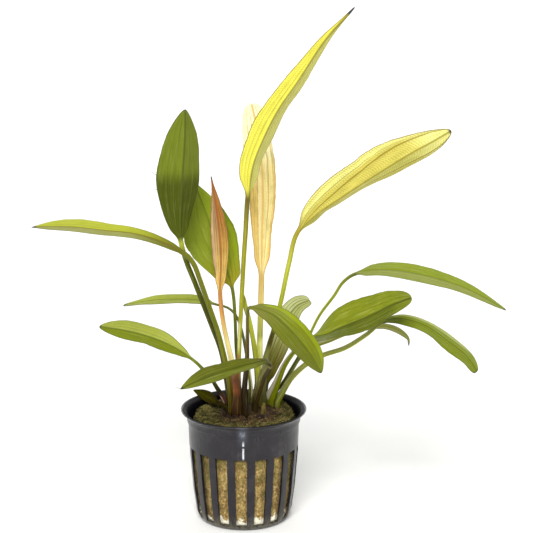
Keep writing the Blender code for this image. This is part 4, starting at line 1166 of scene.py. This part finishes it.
grow_leaf(
    "right_low_leaf", width=14, fold=-2, tapers=(0.7, 0.3, 0.36), stout=(1.5, 1.0),
    faces=[(-0.47, -0.28, 0.83), (0.51, -0.26, 0.82), (0.73, -0.4, 0.56)],
    stalk=[(14.4, 4, FOOT), (16.4, 3.2, 55.5), (21.1, 1.5, 63.6), (27.2, -0.5, 70), (34.5, -2.3, 74.6),
        (43.9, -3.6, 78.3), (53, -6, 85), (59, -7.5, 90.5)],
    blade=[(67, -9, 92.5), (77.5, -11, 90), (88, -13, 83), (95.5, -14.5, 77), (99.5, -16, 71)],
    skin=dict(left=(122, 135, 14), right=(118, 130, 8), rib=(88, 98, 14), vein=(106, 118, 18),
        margin=(84, 90, 18), tip=(56, 54, 26), tip_from=0.985,
        stalk=[(0.0, 84, 78, 24), (0.08, 144, 152, 34), (0.3, 170, 178, 62), (0.5, 172, 182, 50),
        (0.8, 170, 180, 52), (1.0, 120, 128, 32)], strips=[(1, (168, 174, 96), 0.55, 0.12, 0.75)],
        bands=[(1, (238, 240, 186), 0.5, 0.05, 0.15)]))
grow_leaf(
    "right_small_leaf", width=7.6, fold=3, tapers=(0.5, 0.4, 0.5),
    faces=[(-0.05, -0.05, 1.0), (0.65, -0.18, 0.74)],
    stalk=[(15.6, 7.6, FOOT), (19, 10.5, 60), (27, 9.5, 73), (38, 9.5, 78), (47.5, 11, 81.5),
        (56.5, 12, 83)],
    blade=[(62.5, 13, 83), (68, 14, 81), (72.6, 15, 77.5), (73.4, 15, 73.8)],
    skin=dict(left=(134, 138, 32), right=(144, 146, 50), rib=(124, 132, 48), vein=(124, 134, 48),
        margin=(106, 112, 50), tip=(66, 68, 56), tip_from=0.93,
        stalk=[(0.0, 84, 78, 26), (0.3, 120, 124, 34), (1.0, 146, 154, 46)]))

# Fine dark hairs at the upright leaf's margin, and a shred at the low front leaf's tip.
HAIRS = (
    ("left_upright_leaf",
     [(-35.2, -12, 155.3), (-36.4, -12.2, 155.6), (-37.6, -12.5, 156.5), (-39, -12.5, 157.2)]),
    ("left_upright_leaf", [(-35.4, -12, 148.9), (-36.2, -12.2, 149.2), (-37.3, -12.4, 149.9)]),
    ("front_low_leaf", [(-25.2, -37, 70.2), (-26.6, -37.2, 70.6), (-28, -37.3, 71)]),
)
HAIR_THICK = 0.28
hair_paint = Paint("leaf_hair", base_color=(*rgb(92, 84, 62), 1.0), roughness=0.7)
for i, (leaf, route) in enumerate(HAIRS):
    row = [Vector(p) for p in smooth_route(route)[::4]]
    points, faces, _ = grow_strands([(row, HAIR_THICK, 0.0)])
    add_piece(f"leaf_hair_{i + 1}", points, faces, hair_paint)


# Studio
# A white sweep under and behind the plant, one large soft light high in front, and a bright room all round.
SWEEP_WIDTH, SWEEP_FRONT, SWEEP_BACK, SWEEP_TURN, SWEEP_TOP = 12.0, -5.0, 1.7, 0.9, 3.5
VIEW_PLACE = (0.010, -0.6665, 0.2673)
VIEW_TILT, VIEW_FIELD = math.radians(13), math.radians(19)


def sweep_mesh():
    section = [(SWEEP_FRONT, 0.0), (SWEEP_BACK, 0.0)]
    for k in range(1, 17):
        a = math.pi / 2 * k / 16
        section.append((SWEEP_BACK + SWEEP_TURN * math.sin(a), SWEEP_TURN * (1 - math.cos(a))))
    section.append((SWEEP_BACK + SWEEP_TURN, SWEEP_TOP))
    points = [(side * SWEEP_WIDTH / 2, y, z) for y, z in section for side in (-1, 1)]
    faces = [(2 * i, 2 * i + 1, 2 * i + 3, 2 * i + 2) for i in range(len(section) - 1)]
    mesh = bpy.data.meshes.new("sweep")
    mesh.from_pydata(points, [], faces)
    mesh.polygons.foreach_set("use_smooth", [True] * len(mesh.polygons))
    return mesh


paper = Paint("sweep_paper", roughness=0.9, specular_ior_level=0.0)
paper_cloud = paper.cloud(paper.place(), 3.0)
paper.wear("Base Color", paper.mix(paper_cloud, (0.93, 0.93, 0.92), (0.95, 0.95, 0.945)))
sweep = bpy.data.objects.new("sweep", sweep_mesh())
sweep.data.materials.append(paper.material)
bpy.context.scene.collection.objects.link(sweep)

key_data = bpy.data.lights.new("key", "SUN")
key_data.energy = 2.9
key_data.angle = math.radians(28)
key_data.color = (1.0, 0.985, 0.96)
key = bpy.data.objects.new("key", key_data)
key.rotation_euler = (math.radians(48), 0.0, math.radians(-6))
bpy.context.scene.collection.objects.link(key)

room = bpy.data.worlds.new("room")
room.use_nodes = True
room.node_tree.nodes["Background"].inputs["Color"].default_value = (0.97, 0.985, 1.0, 1.0)
room.node_tree.nodes["Background"].inputs["Strength"].default_value = 0.5
bpy.context.scene.world = room

camera_data = bpy.data.cameras.new("camera")
camera_data.sensor_width = 36.0
camera_data.lens = camera_data.sensor_width / 2 / math.tan(VIEW_FIELD / 2)
camera = bpy.data.objects.new("camera", camera_data)
camera.location = VIEW_PLACE
camera.rotation_euler = (math.pi / 2 - VIEW_TILT, 0.0, 0.0)
bpy.context.scene.collection.objects.link(camera)
bpy.context.scene.camera = camera
bpy.context.scene.view_settings.view_transform = "Standard"
